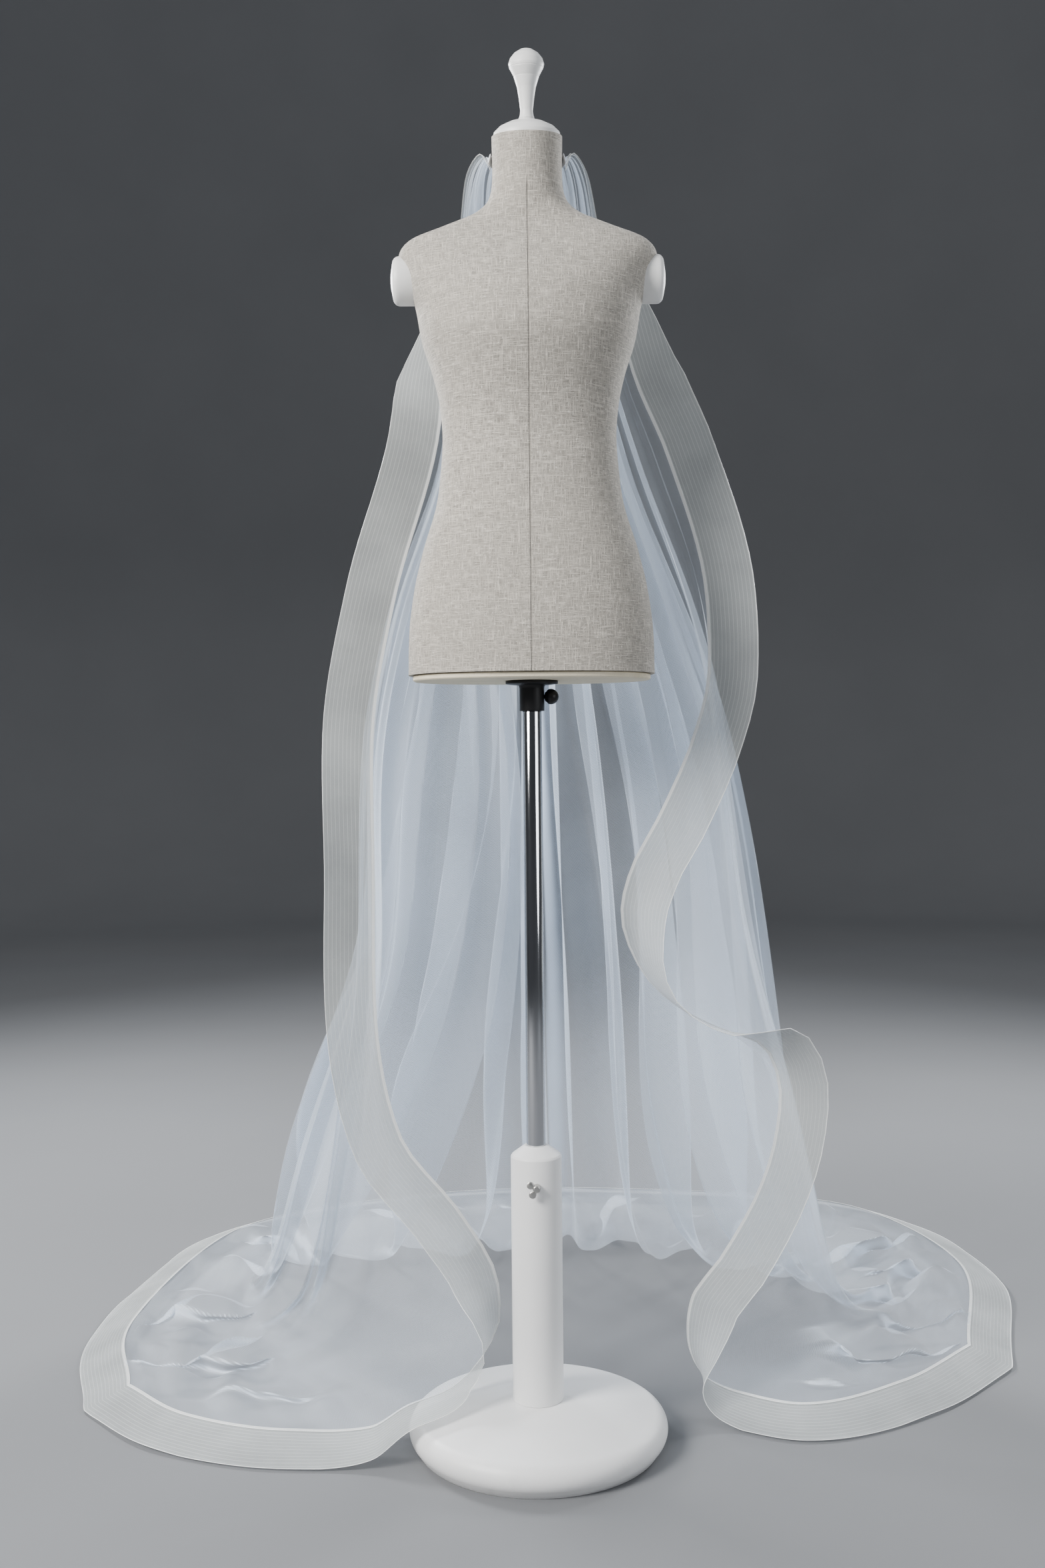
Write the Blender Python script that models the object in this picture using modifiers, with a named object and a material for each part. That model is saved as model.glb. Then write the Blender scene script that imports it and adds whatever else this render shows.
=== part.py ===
"""A bridal veil standing on the limbless dress form that holds it.

Metres, +Z up. The origin is on the floor, on the stand's axis. The front of the form faces -Y and the
veil hangs behind it. The tulle is one sheet: lines laid along the cloth, from the gather at the nape
to the hem, give its drape, and a wave across the sheet gives its folds. A stiff braid edges it.
"""
import math

import bmesh
import bpy
import numpy as np

OBJECT_NAME = "bridal_veil_on_dress_form"

# Clearance between pieces that touch, and the wall of the cloths.
GAP = 0.0003
TULLE_WALL = 0.0018
BRAID_WALL = 0.0014
BRAID_WIDTH = 0.070
BRAID_FLOOR = 0.0035
BRAID_GATHERED_SHARE = 0.22
BRAID_FULL_WIDTH_AT = 0.125
FLOOR_CLEARANCE = 0.0018

# Sheet layout: folds across the cloth, columns in each fold, and rows of points: sparse down to the
# knee share, closer from there to the landing, where the edges twist, and then along the floor.
FOLDS = 18
COLUMNS_PER_FOLD = 4
KNEE = 0.36
LANDING = 0.76
UPPER_ROWS = 9
LOWER_ROWS = 17
FLOOR_ROWS = 7
FALL_ROWS = UPPER_ROWS + LOWER_ROWS

# Stand.
BASE_RADIUS = 0.183
BASE_HEIGHT = 0.062
COLUMN_RADIUS = 0.036
COLUMN_TOP = 0.409
POLE_RADIUS = 0.0135
POLE_BOTTOM = 0.110
COLLAR_BOTTOM = 1.036
COLLAR_TOP = 1.0780
SCREW_HEIGHT = 0.372
KNOB_HEIGHT = 1.056

# Form. The neck leans forward and its top is cut on a slope.
BOARD_BOTTOM = 1.0785
BOARD_TOP = 1.0865
FORM_BOTTOM = BOARD_TOP + GAP
NECK_RADIUS = 0.0492
NECK_TOP = 1.8345
NECK_TOP_Y = -0.012
NECK_SLOPE = math.radians(11)
ARM_HEIGHT = 1.640
ARM_CAP_RADIUS = 0.0335
ARM_SEAT_X = 0.150
ARM_OUTER_X = 0.1925
GATHER_RADIUS = 0.0545

# Sections of the form: height, half width, depth to the front, depth to the back, forward lean.
FORM_SECTIONS = (
    (FORM_BOTTOM, 0.1730, 0.108, 0.115, 0.000),
    (1.145, 0.1715, 0.108, 0.118, 0.000),
    (1.207, 0.1635, 0.103, 0.116, 0.000),
    (1.260, 0.1510, 0.097, 0.108, 0.000),
    (1.327, 0.1310, 0.088, 0.095, 0.000),
    (1.372, 0.1250, 0.085, 0.088, 0.000),
    (1.418, 0.1220, 0.084, 0.086, 0.000),
    (1.460, 0.1250, 0.092, 0.090, 0.000),
    (1.505, 0.1345, 0.108, 0.096, 0.000),
    (1.553, 0.1495, 0.122, 0.102, 0.000),
    (1.600, 0.1580, 0.116, 0.106, 0.000),
    (1.640, 0.1700, 0.096, 0.106, 0.000),
    (1.672, 0.1810, 0.074, 0.096, 0.000),
    (1.692, 0.1680, 0.060, 0.080, 0.000),
    (1.710, 0.1240, 0.052, 0.068, 0.000),
    (1.728, 0.0780, 0.050, 0.060, 0.000),
    (1.747, 0.0560, 0.050, 0.054, 0.002),
    (1.775, NECK_RADIUS, NECK_RADIUS, NECK_RADIUS, 0.005),
    (NECK_TOP, NECK_RADIUS, NECK_RADIUS, NECK_RADIUS, -NECK_TOP_Y),
)
FORM_POINTS_ROUND = 32
FORM_SQUARENESS = 2.25

# The sheet's two side seams. Rows: share of the way from the gather to the hem, x, y, z, and the
# way the braid's width points from the seam: its bearing from +X in plan and its dip, in degrees.
LEFT_SEAM = (
    (0.000, -0.0537, 0.001, 1.800, 190, 0),
    (0.030, -0.0780, 0.055, 1.752, 190, 0),
    (0.090, -0.1220, 0.120, 1.630, 190, 0),
    (0.155, -0.1350, 0.122, 1.460, 188, 0),
    (0.260, -0.2030, 0.090, 1.200, 186, 0),
    (0.340, -0.2340, 0.068, 1.000, 190, 0),
    (0.411, -0.2330, 0.055, 0.800, 196, 0),
    (0.481, -0.2320, 0.050, 0.600, 192, 0),
    (0.548, -0.1980, 0.052, 0.422, 190, 0),
    (0.596, -0.1140, 0.055, 0.311, 196, 0),
    (0.634, -0.0600, 0.050, 0.216, 210, 0),
    (0.658, -0.0560, 0.040, 0.160, 235, 0),
    (0.680, -0.0790, 0.036, 0.108, 262, 0),
    (0.707, -0.1320, 0.038, 0.068, 270, 0),
    (0.733, -0.1900, 0.030, 0.058, 268, -8),
    (0.760, -0.2350, 0.006, 0.030, 266, -18),
    (0.830, -0.3600, -0.014, 0.028, 264, -20),
    (0.915, -0.5100, 0.034, 0.028, 250, -20),
    (1.000, -0.6200, 0.140, 0.028, 222, -20),
)
RIGHT_SEAM = (
    (0.000, 0.0537, 0.001, 1.800, -10, 0),
    (0.030, 0.0850, 0.048, 1.752, -8, 0),
    (0.085, 0.1320, 0.124, 1.640, -4, 0),
    (0.120, 0.1580, 0.128, 1.540, 0, 0),
    (0.170, 0.2070, 0.125, 1.420, 0, 0),
    (0.260, 0.2620, 0.110, 1.210, -4, 0),
    (0.305, 0.2640, 0.104, 1.095, -8, 0),
    (0.345, 0.2390, 0.098, 0.995, -8, 0),
    (0.379, 0.1920, 0.092, 0.890, -6, 0),
    (0.414, 0.1440, 0.088, 0.800, -10, 0),
    (0.444, 0.1310, 0.086, 0.735, -30, 0),
    (0.474, 0.1560, 0.088, 0.660, -62, 0),
    (0.500, 0.2050, 0.094, 0.605, -80, 0),
    (0.526, 0.2720, 0.104, 0.568, -80, 0),
    (0.556, 0.3450, 0.116, 0.535, -45, 30),
    (0.582, 0.3680, 0.122, 0.470, -12, 10),
    (0.612, 0.3600, 0.122, 0.395, -6, 0),
    (0.646, 0.3330, 0.120, 0.315, -4, 0),
    (0.680, 0.2790, 0.118, 0.222, -8, 0),
    (0.706, 0.2330, 0.114, 0.160, -20, 0),
    (0.732, 0.2260, 0.112, 0.100, -50, 0),
    (0.753, 0.2450, 0.108, 0.050, -80, -8),
    (0.775, 0.2950, 0.092, 0.029, -100, -18),
    (0.820, 0.3850, 0.050, 0.028, -96, -20),
    (0.910, 0.5500, 0.128, 0.028, -58, -20),
    (1.000, 0.6900, 0.265, 0.028, -34, -20),
)

# Lines down the cloth between the seams, from left to right. Each starts with its share of the way
# across the cloth; rows are share of the way down, x, y, z.
LEFT_SIDE = (0.13, (
    (0.00, -0.0470, 0.0191, 1.800), (0.03, -0.0760, 0.088, 1.745), (0.09, -0.1040, 0.152, 1.610),
    (0.17, -0.1180, 0.162, 1.410), (0.26, -0.1830, 0.150, 1.185), (0.36, -0.2320, 0.150, 0.950),
    (0.48, -0.2520, 0.170, 0.650), (0.60, -0.3050, 0.222, 0.330), (0.68, -0.3550, 0.270, 0.110),
    (0.75, -0.4400, 0.318, 0.026), (0.87, -0.5700, 0.365, 0.024), (1.00, -0.6820, 0.410, 0.028)))
LEFT_FALL_OUTER = (0.26, (
    (0.00, -0.0390, 0.0296, 1.800), (0.03, -0.0620, 0.112, 1.745), (0.09, -0.0740, 0.166, 1.605),
    (0.17, -0.0920, 0.176, 1.405), (0.26, -0.1480, 0.188, 1.180), (0.36, -0.2120, 0.226, 0.940),
    (0.48, -0.2620, 0.312, 0.650), (0.60, -0.3700, 0.450, 0.350), (0.67, -0.4350, 0.545, 0.150),
    (0.75, -0.4950, 0.665, 0.026), (0.87, -0.5500, 0.790, 0.024), (1.00, -0.6000, 0.900, 0.028)))
LEFT_FALL_INNER = (0.41, (
    (0.00, -0.0180, 0.0429, 1.800), (0.03, -0.0300, 0.132, 1.740), (0.09, -0.0400, 0.165, 1.600),
    (0.17, -0.0500, 0.178, 1.400), (0.26, -0.0560, 0.210, 1.175), (0.36, -0.0580, 0.275, 0.935),
    (0.48, -0.0640, 0.392, 0.650), (0.60, -0.0760, 0.540, 0.350), (0.67, -0.0900, 0.645, 0.150),
    (0.75, -0.1300, 0.780, 0.026), (0.87, -0.1900, 0.980, 0.024), (1.00, -0.2500, 1.135, 0.028)))
BACK_CENTRE = (0.51, (
    (0.00, 0.0000, 0.0460, 1.800), (0.03, 0.0000, 0.138, 1.740), (0.09, 0.0000, 0.168, 1.600),
    (0.17, 0.0020, 0.184, 1.400), (0.26, 0.0080, 0.226, 1.175), (0.36, 0.0120, 0.304, 0.935),
    (0.48, 0.0180, 0.430, 0.650), (0.60, 0.0250, 0.585, 0.350), (0.67, 0.0300, 0.690, 0.150),
    (0.75, 0.0250, 0.822, 0.026), (0.87, 0.0200, 1.020, 0.024), (1.00, 0.0150, 1.180, 0.028)))
RIGHT_FALL_INNER = (0.61, (
    (0.00, 0.0180, 0.0429, 1.800), (0.03, 0.0320, 0.132, 1.740), (0.09, 0.0450, 0.166, 1.600),
    (0.17, 0.0650, 0.180, 1.400), (0.26, 0.0920, 0.212, 1.175), (0.36, 0.1180, 0.276, 0.935),
    (0.48, 0.1420, 0.386, 0.650), (0.60, 0.1750, 0.528, 0.350), (0.67, 0.2000, 0.628, 0.150),
    (0.75, 0.2350, 0.762, 0.026), (0.87, 0.2700, 0.960, 0.024), (1.00, 0.3000, 1.155, 0.028)))
RIGHT_FALL_OUTER = (0.75, (
    (0.00, 0.0390, 0.0296, 1.800), (0.03, 0.0620, 0.114, 1.745), (0.09, 0.0800, 0.167, 1.605),
    (0.17, 0.1220, 0.178, 1.405), (0.26, 0.1900, 0.190, 1.180), (0.36, 0.2350, 0.232, 0.940),
    (0.48, 0.2720, 0.304, 0.650), (0.60, 0.3300, 0.408, 0.350), (0.67, 0.3800, 0.492, 0.150),
    (0.75, 0.4600, 0.622, 0.026), (0.87, 0.5700, 0.830, 0.024), (1.00, 0.6600, 1.030, 0.028)))
RIGHT_SIDE = (0.88, (
    (0.00, 0.0470, 0.0191, 1.800), (0.03, 0.0800, 0.088, 1.745), (0.09, 0.1100, 0.154, 1.610),
    (0.17, 0.1600, 0.164, 1.410), (0.26, 0.2300, 0.164, 1.185), (0.36, 0.2920, 0.170, 0.950),
    (0.48, 0.3480, 0.196, 0.640), (0.60, 0.4150, 0.240, 0.330), (0.67, 0.4700, 0.285, 0.135),
    (0.72, 0.5200, 0.335, 0.060), (0.77, 0.5850, 0.395, 0.028), (0.87, 0.6750, 0.500, 0.024), (1.00, 0.7880, 0.660, 0.028)))
INNER_LINES = (
    LEFT_SIDE, LEFT_FALL_OUTER, LEFT_FALL_INNER, BACK_CENTRE, RIGHT_FALL_INNER, RIGHT_FALL_OUTER, RIGHT_SIDE
)

# The hem's braid: share across the cloth, bearing of its width from the seam. It dips to the floor.
HEM_BEARINGS = (
    (0.00, 222), (0.06, 195), (0.13, 176), (0.26, 138), (0.41, 100), (0.51, 90),
    (0.61, 82), (0.75, 42), (0.88, 2), (0.95, -12), (1.00, -34),
)
HEM_DIP = -20

# Fold depth down the cloth: share of the way down, depth either side of the sheet's mean.
FOLD_DEPTHS = (
    (0.00, 0.0010), (0.03, 0.0035), (0.09, 0.0060), (0.17, 0.0085), (0.26, 0.0120), (0.36, 0.0160),
    (0.48, 0.0215), (0.60, 0.0260), (0.70, 0.0140), (0.75, 0.0120), (0.87, 0.0130), (0.96, 0.0070), (1.00, 0.0),
)
EDGE_CALM = 0.16

# The cloth's stretches: name, columns' share across from and to.
STRETCHES = (("left", 0.0, 0.40), ("back", 0.40, 0.62), ("right", 0.62, 1.0))


def material(name, colour, roughness, metallic=0.0, alpha=1.0):
    """A Principled material in the part's own colour."""
    made = bpy.data.materials.new(name)
    made.use_nodes = True
    shader = made.node_tree.nodes["Principled BSDF"]
    shader.inputs["Base Color"].default_value = (*colour, 1.0)
    shader.inputs["Roughness"].default_value = roughness
    shader.inputs["Metallic"].default_value = metallic
    shader.inputs["Alpha"].default_value = alpha
    return made


def new_collection(name):
    """A collection linked under the scene."""
    made = bpy.data.collections.new(name)
    bpy.context.scene.collection.children.link(made)
    return made


def add_mesh(name, verts, faces, finish, collection, smooth=True):
    """A mesh object from points and faces."""
    mesh = bpy.data.meshes.new(name)
    mesh.from_pydata([tuple(map(float, p)) for p in verts], [], [tuple(map(int, f)) for f in faces])
    shape = bmesh.new()
    shape.from_mesh(mesh)
    bmesh.ops.recalc_face_normals(shape, faces=shape.faces)
    shape.to_mesh(mesh)
    shape.free()
    if smooth:
        mesh.shade_smooth()
        mesh.set_sharp_from_angle(angle=math.radians(40))
    made = bpy.data.objects.new(name, mesh)
    made.data.materials.append(finish)
    collection.objects.link(made)
    return made


def turned(name, profile, steps, finish, collection, closed=False):
    """A turned shape: a profile of (radius, height) swept round Z by a Screw modifier."""
    mesh = bpy.data.meshes.new(name)
    edges = [(i, i + 1) for i in range(len(profile) - 1)]
    if closed:
        edges.append((len(profile) - 1, 0))
    mesh.from_pydata([(r, 0.0, z) for r, z in profile], edges, [])
    made = bpy.data.objects.new(name, mesh)
    made.data.materials.append(finish)
    collection.objects.link(made)
    screw = made.modifiers.new("turn", "SCREW")
    screw.axis = "Z"
    screw.steps = steps
    screw.render_steps = steps
    screw.use_merge_vertices = True
    screw.merge_threshold = 0.00005
    screw.use_smooth_shade = True
    return made


def arc(centre_r, centre_z, radius, start, stop, count):
    """Points of a round stretch of a profile, angles in degrees from +r towards +z."""
    angles = np.radians(np.linspace(start, stop, count))
    return [(centre_r + radius * math.cos(a), centre_z + radius * math.sin(a)) for a in angles]


def cutter_cylinder(name, radius, depth, location, rotation, collection):
    """A cylinder that only cuts."""
    mesh = bpy.data.meshes.new(name)
    shape = bmesh.new()
    bmesh.ops.create_cone(
        shape, cap_ends=True, cap_tris=False, segments=24, radius1=radius, radius2=radius, depth=depth
    )
    shape.to_mesh(mesh)
    shape.free()
    made = bpy.data.objects.new(name, mesh)
    made.location = location
    made.rotation_euler = rotation
    made.hide_render = True
    made.display_type = "WIRE"
    collection.objects.link(made)
    return made


def cut(target, cutter, operation="DIFFERENCE"):
    """A Boolean of one object with another."""
    modifier = target.modifiers.new(operation.lower(), "BOOLEAN")
    modifier.operation = operation
    modifier.solver = "EXACT"
    modifier.object = cutter


def build_stand(parts, cutters, finishes):
    """Base, column, pole, wing screw, collar and knob."""
    base_profile = [(0.0, BASE_HEIGHT), (COLUMN_RADIUS + 0.020, BASE_HEIGHT), (0.110, 0.0575), (0.136, 0.0525)]
    base_profile += [(0.140, 0.0500)]
    base_profile += arc(BASE_RADIUS - 0.022, 0.0240, 0.022, 88, -40, 6)
    base_profile += [(BASE_RADIUS - 0.012, 0.0), (0.0, 0.0)]
    turned("stand_base", base_profile, 40, finishes["white_paint"], parts)

    bore = POLE_RADIUS + GAP
    column_bottom = BASE_HEIGHT + GAP
    column_profile = [
        (bore, COLUMN_TOP + 0.0135), (0.0170, COLUMN_TOP + 0.0135), (COLUMN_RADIUS - 0.002, COLUMN_TOP + 0.001),
        (COLUMN_RADIUS, COLUMN_TOP - 0.002), (COLUMN_RADIUS, column_bottom), (bore, column_bottom),
    ]
    column = turned("stand_column", column_profile, 32, finishes["white_paint"], parts, closed=True)
    hole = cutter_cylinder(
        "screw_hole", 0.0031, COLUMN_RADIUS, (0.0, -COLUMN_RADIUS, SCREW_HEIGHT), (math.pi / 2, 0, 0), cutters
    )
    cut(column, hole)

    turned(
        "pole", [(0.0, COLLAR_BOTTOM - GAP), (POLE_RADIUS, COLLAR_BOTTOM - GAP), (POLE_RADIUS, POLE_BOTTOM),
                 (0.0, POLE_BOTTOM)], 24, finishes["chrome"], parts)

    build_wing_screw(parts, cutters, finishes["zinc"])
    build_collar(parts, cutters, finishes["black_plastic"])


def build_wing_screw(parts, cutters, finish):
    """A thumb screw: a shank along Y in the column's hole and two rounded wings."""
    front = -COLUMN_RADIUS - 0.0004
    shank_profile = [
        (0.0, 0.0130), (0.0040, 0.0130), (0.0052, 0.0118), (0.0052, 0.0), (0.0028, 0.0), (0.0028, -0.012), (0.0, -0.012)
    ]
    screw = turned("wing_screw", shank_profile, 16, finish, parts)
    screw.location = (0.0, front, SCREW_HEIGHT)
    screw.rotation_euler = (math.pi / 2, 0, 0)
    for side, angle in (("upper", 150), ("lower", 235)):
        wing = cutter_cylinder(
            "wing_" + side, 0.0062, 0.0030, (0.0, 0.0, 0.0), (0.0, 0.0, 0.0), cutters
        )
        turn = math.radians(angle)
        wing.location = (0.0088 * math.cos(turn), front - 0.0095, SCREW_HEIGHT + 0.0088 * math.sin(turn))
        wing.rotation_euler = (0.0, math.pi / 2 - turn + math.pi / 2, 0.0)
        cut(screw, wing, "UNION")


def build_collar(parts, cutters, finish):
    """The height clamp under the form: a tapped block on the pole, a flange and a side knob."""
    collar_profile = [
        (0.0, COLLAR_TOP), (0.0370, COLLAR_TOP), (0.0370, COLLAR_TOP - 0.004), (0.0185, COLLAR_TOP - 0.006),
        (0.0175, COLLAR_TOP - 0.010), (0.0175, COLLAR_BOTTOM), (0.0, COLLAR_BOTTOM),
    ]
    collar = turned("clamp_collar", collar_profile, 28, finish, parts)
    hole = cutter_cylinder("knob_hole", 0.0033, 0.024, (0.0175, 0.0, KNOB_HEIGHT), (0, math.pi / 2, 0), cutters)
    cut(collar, hole)
    knob_profile = [(0.0, 0.0190), (0.0100, 0.0190)] + arc(0.0105, 0.0155, 0.0035, 80, 0, 3)
    knob_profile += [(0.0140, 0.0060), (0.0060, 0.0030), (0.0060, 0.0006), (0.0030, 0.0006), (0.0030, -0.0100)]
    knob_profile += [(0.0, -0.0100)]
    knob = turned("clamp_knob", knob_profile, 20, finish, parts)
    knob.location = (0.0175, 0.0, KNOB_HEIGHT)
    knob.rotation_euler = (0, math.pi / 2, 0)


def section_ring(height, half_width, front, back, lean, slope):
    """One closed section of the form: a squared ellipse, deeper or flatter behind than in front."""
    angle = np.linspace(0.0, 2.0 * math.pi, FORM_POINTS_ROUND, endpoint=False)
    power = 2.0 / FORM_SQUARENESS if slope == 0.0 else 1.0
    across = np.sign(np.cos(angle)) * np.abs(np.cos(angle)) ** power * half_width
    depth = np.where(np.sin(angle) < 0, front, back)
    along = np.sign(np.sin(angle)) * np.abs(np.sin(angle)) ** power * depth
    return np.stack([across, along - lean, height + along * math.tan(slope)], axis=1)


def loft(rings):
    """Closed faces over a stack of rings of equal size, bottom ring first."""
    count = len(rings[0])
    verts = np.concatenate(rings)
    faces = []
    for level in range(len(rings) - 1):
        low = level * count
        for i in range(count):
            j = (i + 1) % count
            faces.append((low + i, low + j, low + count + j, low + count + i))
    faces.append(tuple(range(count - 1, -1, -1)))
    top = (len(rings) - 1) * count
    faces.append(tuple(range(top, top + count)))
    return verts, faces


def build_form(parts, cutters, finishes):
    """Torso, board, neck cap, finial and arm caps."""
    rings = []
    for number, (height, half_width, front, back, lean) in enumerate(FORM_SECTIONS):
        slope = NECK_SLOPE if number == len(FORM_SECTIONS) - 1 else 0.0
        rings.append(section_ring(height, half_width, front, back, lean, slope))
    verts, faces = loft(rings)
    torso = add_mesh("form_body", verts, faces, finishes["linen"], parts)

    inset = 0.006
    bottom = FORM_SECTIONS[0]
    board_rings = [
        section_ring(height, bottom[1] - inset, bottom[2] - inset, bottom[3] - inset, 0.0, 0.0)
        for height in (BOARD_BOTTOM, BOARD_TOP)
    ]
    verts, faces = loft(board_rings)
    add_mesh("form_base_board", verts, faces, finishes["board"], parts)

    for side, sign in (("left", -1), ("right", 1)):
        seat = cutter_cylinder(
            "arm_seat_" + side, ARM_CAP_RADIUS + GAP, 0.08, (sign * (ARM_SEAT_X + 0.04), 0.0, ARM_HEIGHT),
            (0, math.pi / 2, 0), cutters
        )
        cut(torso, seat)
        rim = 0.009
        cap_profile = [(0.0, ARM_OUTER_X)]
        cap_profile += [(0.012, ARM_OUTER_X - 0.0006), (ARM_CAP_RADIUS - rim, ARM_OUTER_X - 0.003)]
        cap_profile += arc(ARM_CAP_RADIUS - rim, ARM_OUTER_X - rim - 0.003, rim, 65, 0, 4)
        cap_profile += [(ARM_CAP_RADIUS, ARM_SEAT_X + GAP), (0.0, ARM_SEAT_X + GAP)]
        cap = turned("arm_cap_" + side, cap_profile, 20, finishes["white_plastic"], parts)
        cap.location = (0.0, 0.0, ARM_HEIGHT)
        cap.rotation_euler = (0, sign * math.pi / 2, 0)

    slope_cos = math.cos(NECK_SLOPE)
    cap_profile = [(0.0, 0.0240), (0.0115, 0.0240), (0.0120, 0.0210), (0.0240, 0.0195), (0.0380, 0.0130)]
    cap_profile += [(0.0460, 0.0055), (0.0470, GAP), (0.0, GAP)]
    neck_cap = turned("neck_cap", cap_profile, 32, finishes["white_plastic"], parts)
    neck_cap.location = (0.0, NECK_TOP_Y, NECK_TOP + 0.0002 / slope_cos)
    neck_cap.rotation_euler = (NECK_SLOPE, 0, 0)

    finial_base = 1.8595 + GAP
    finial_profile = [(0.0, 1.9500), (0.0080, 1.9490), (0.0165, 1.9440), (0.0225, 1.9370), (0.02475, 1.9300)]
    finial_profile += [(0.0240, 1.9255), (0.0210, 1.9220), (0.0170, 1.9130), (0.0130, 1.9000), (0.0105, 1.8850)]
    finial_profile += [(0.0088, 1.8700), (0.0095, 1.8640), (0.0110, finial_base), (0.0, finial_base)]
    finial = turned("finial", [(r, z - finial_base) for r, z in finial_profile], 20, finishes["white_plastic"], parts)
    seat_offset = 0.0240 + 0.0005
    finial.location = (
        0.0, NECK_TOP_Y - seat_offset * math.sin(NECK_SLOPE), NECK_TOP + seat_offset * slope_cos
    )
    finial.rotation_euler = (NECK_SLOPE * 0.995, 0, 0)


def smooth_through(knots, values, at):
    """A smooth curve through rows of values at rising knots, read at other places (cubic, no overshoot)."""
    knots = np.asarray(knots, float)
    values = np.asarray(values, float)
    steps = np.diff(knots)
    slopes = np.diff(values, axis=0) / steps[:, None]
    tangents = np.empty_like(values)
    tangents[0] = slopes[0]
    tangents[-1] = slopes[-1]
    same_way = slopes[:-1] * slopes[1:] > 0
    total = np.where(same_way, slopes[:-1] + slopes[1:], 1.0)
    tangents[1:-1] = np.where(same_way, 2.0 * slopes[:-1] * slopes[1:] / total, 0.0)
    blended = 0.5 * (slopes[:-1] + slopes[1:])
    tangents[1:-1] = 0.5 * tangents[1:-1] + 0.5 * blended
    place = np.clip(np.searchsorted(knots, at, side="right") - 1, 0, len(steps) - 1)
    t = ((at - knots[place]) / steps[place])[:, None]
    h = steps[place][:, None]
    start, end = values[place], values[place + 1]
    return (
        (2 * t**3 - 3 * t**2 + 1) * start + (t**3 - 2 * t**2 + t) * h * tangents[place]
        + (-2 * t**3 + 3 * t**2) * end + (t**3 - t**2) * h * tangents[place + 1]
    )


def sheet_rows():
    """Shares of the way down the cloth at which it has a row of points."""
    upper = np.linspace(0.0, KNEE, UPPER_ROWS + 1)
    lower = np.linspace(KNEE, LANDING, LOWER_ROWS + 1)[1:]
    floor = np.linspace(LANDING, 1.0, FLOOR_ROWS + 1)[1:]
    return np.concatenate([upper, lower, floor])


def mean_sheet(down, across):
    """The sheet without its folds: points at each share down and across."""
    shares = [0.0]
    lines = [smooth_through([r[0] for r in LEFT_SEAM], [r[1:4] for r in LEFT_SEAM], down)]
    for share, rows in INNER_LINES:
        shares.append(share)
        lines.append(smooth_through([r[0] for r in rows], [r[1:4] for r in rows], down))
    shares.append(1.0)
    lines.append(smooth_through([r[0] for r in RIGHT_SEAM], [r[1:4] for r in RIGHT_SEAM], down))
    stacked = np.stack(lines, axis=0)
    flat = smooth_through(shares, stacked.reshape(len(shares), -1), across)
    return flat.reshape(len(across), len(down), 3).transpose(1, 0, 2)


def fold_wave(down, across):
    """Folds across the sheet, from -1 to 1: their spacing is uneven and drifts a little on the way down."""
    u = across[None, :]
    v = down[:, None]
    drift = 0.16 * np.sin(2 * math.pi * (1.7 * u + 0.9 * v)) + 0.10 * np.sin(2 * math.pi * (4.3 * u - 0.6 * v))
    return np.sin(2 * math.pi * (FOLDS * u + drift))


def sheet_normals(points):
    """Unit normals of a grid of points, outwards from the form and up on the floor."""
    down_step = np.gradient(points, axis=0)
    across_step = np.gradient(points, axis=1)
    normals = np.cross(down_step, across_step)
    return unit(normals)


def tulle_points():
    """The folded sheet's middle surface and the direction of its wall."""
    down = sheet_rows()
    across = np.linspace(0.0, 1.0, FOLDS * COLUMNS_PER_FOLD + 1)
    mean = mean_sheet(down, across)
    normals = sheet_normals(mean)
    depth = smooth_through([r[0] for r in FOLD_DEPTHS], [r[1:2] for r in FOLD_DEPTHS], down)
    calm = np.clip(np.minimum(across, 1 - across) / EDGE_CALM, 0, 1) ** 1.5
    offset = fold_wave(down, across) * depth * calm[None, :]
    mean[:, :, 2] = np.maximum(mean[:, :, 2], depth * calm[None, :] + FLOOR_CLEARANCE)
    return down, across, mean + normals * offset[:, :, None], normals


def round_the_edge(grid):
    """A grid's values down its left side, along its hem and up its right side."""
    return np.concatenate([grid[:, 0], grid[-1, 1:-1], grid[::-1, -1]])


def unit(vectors):
    """Vectors at unit length."""
    return vectors / np.linalg.norm(vectors, axis=-1, keepdims=True)


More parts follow.
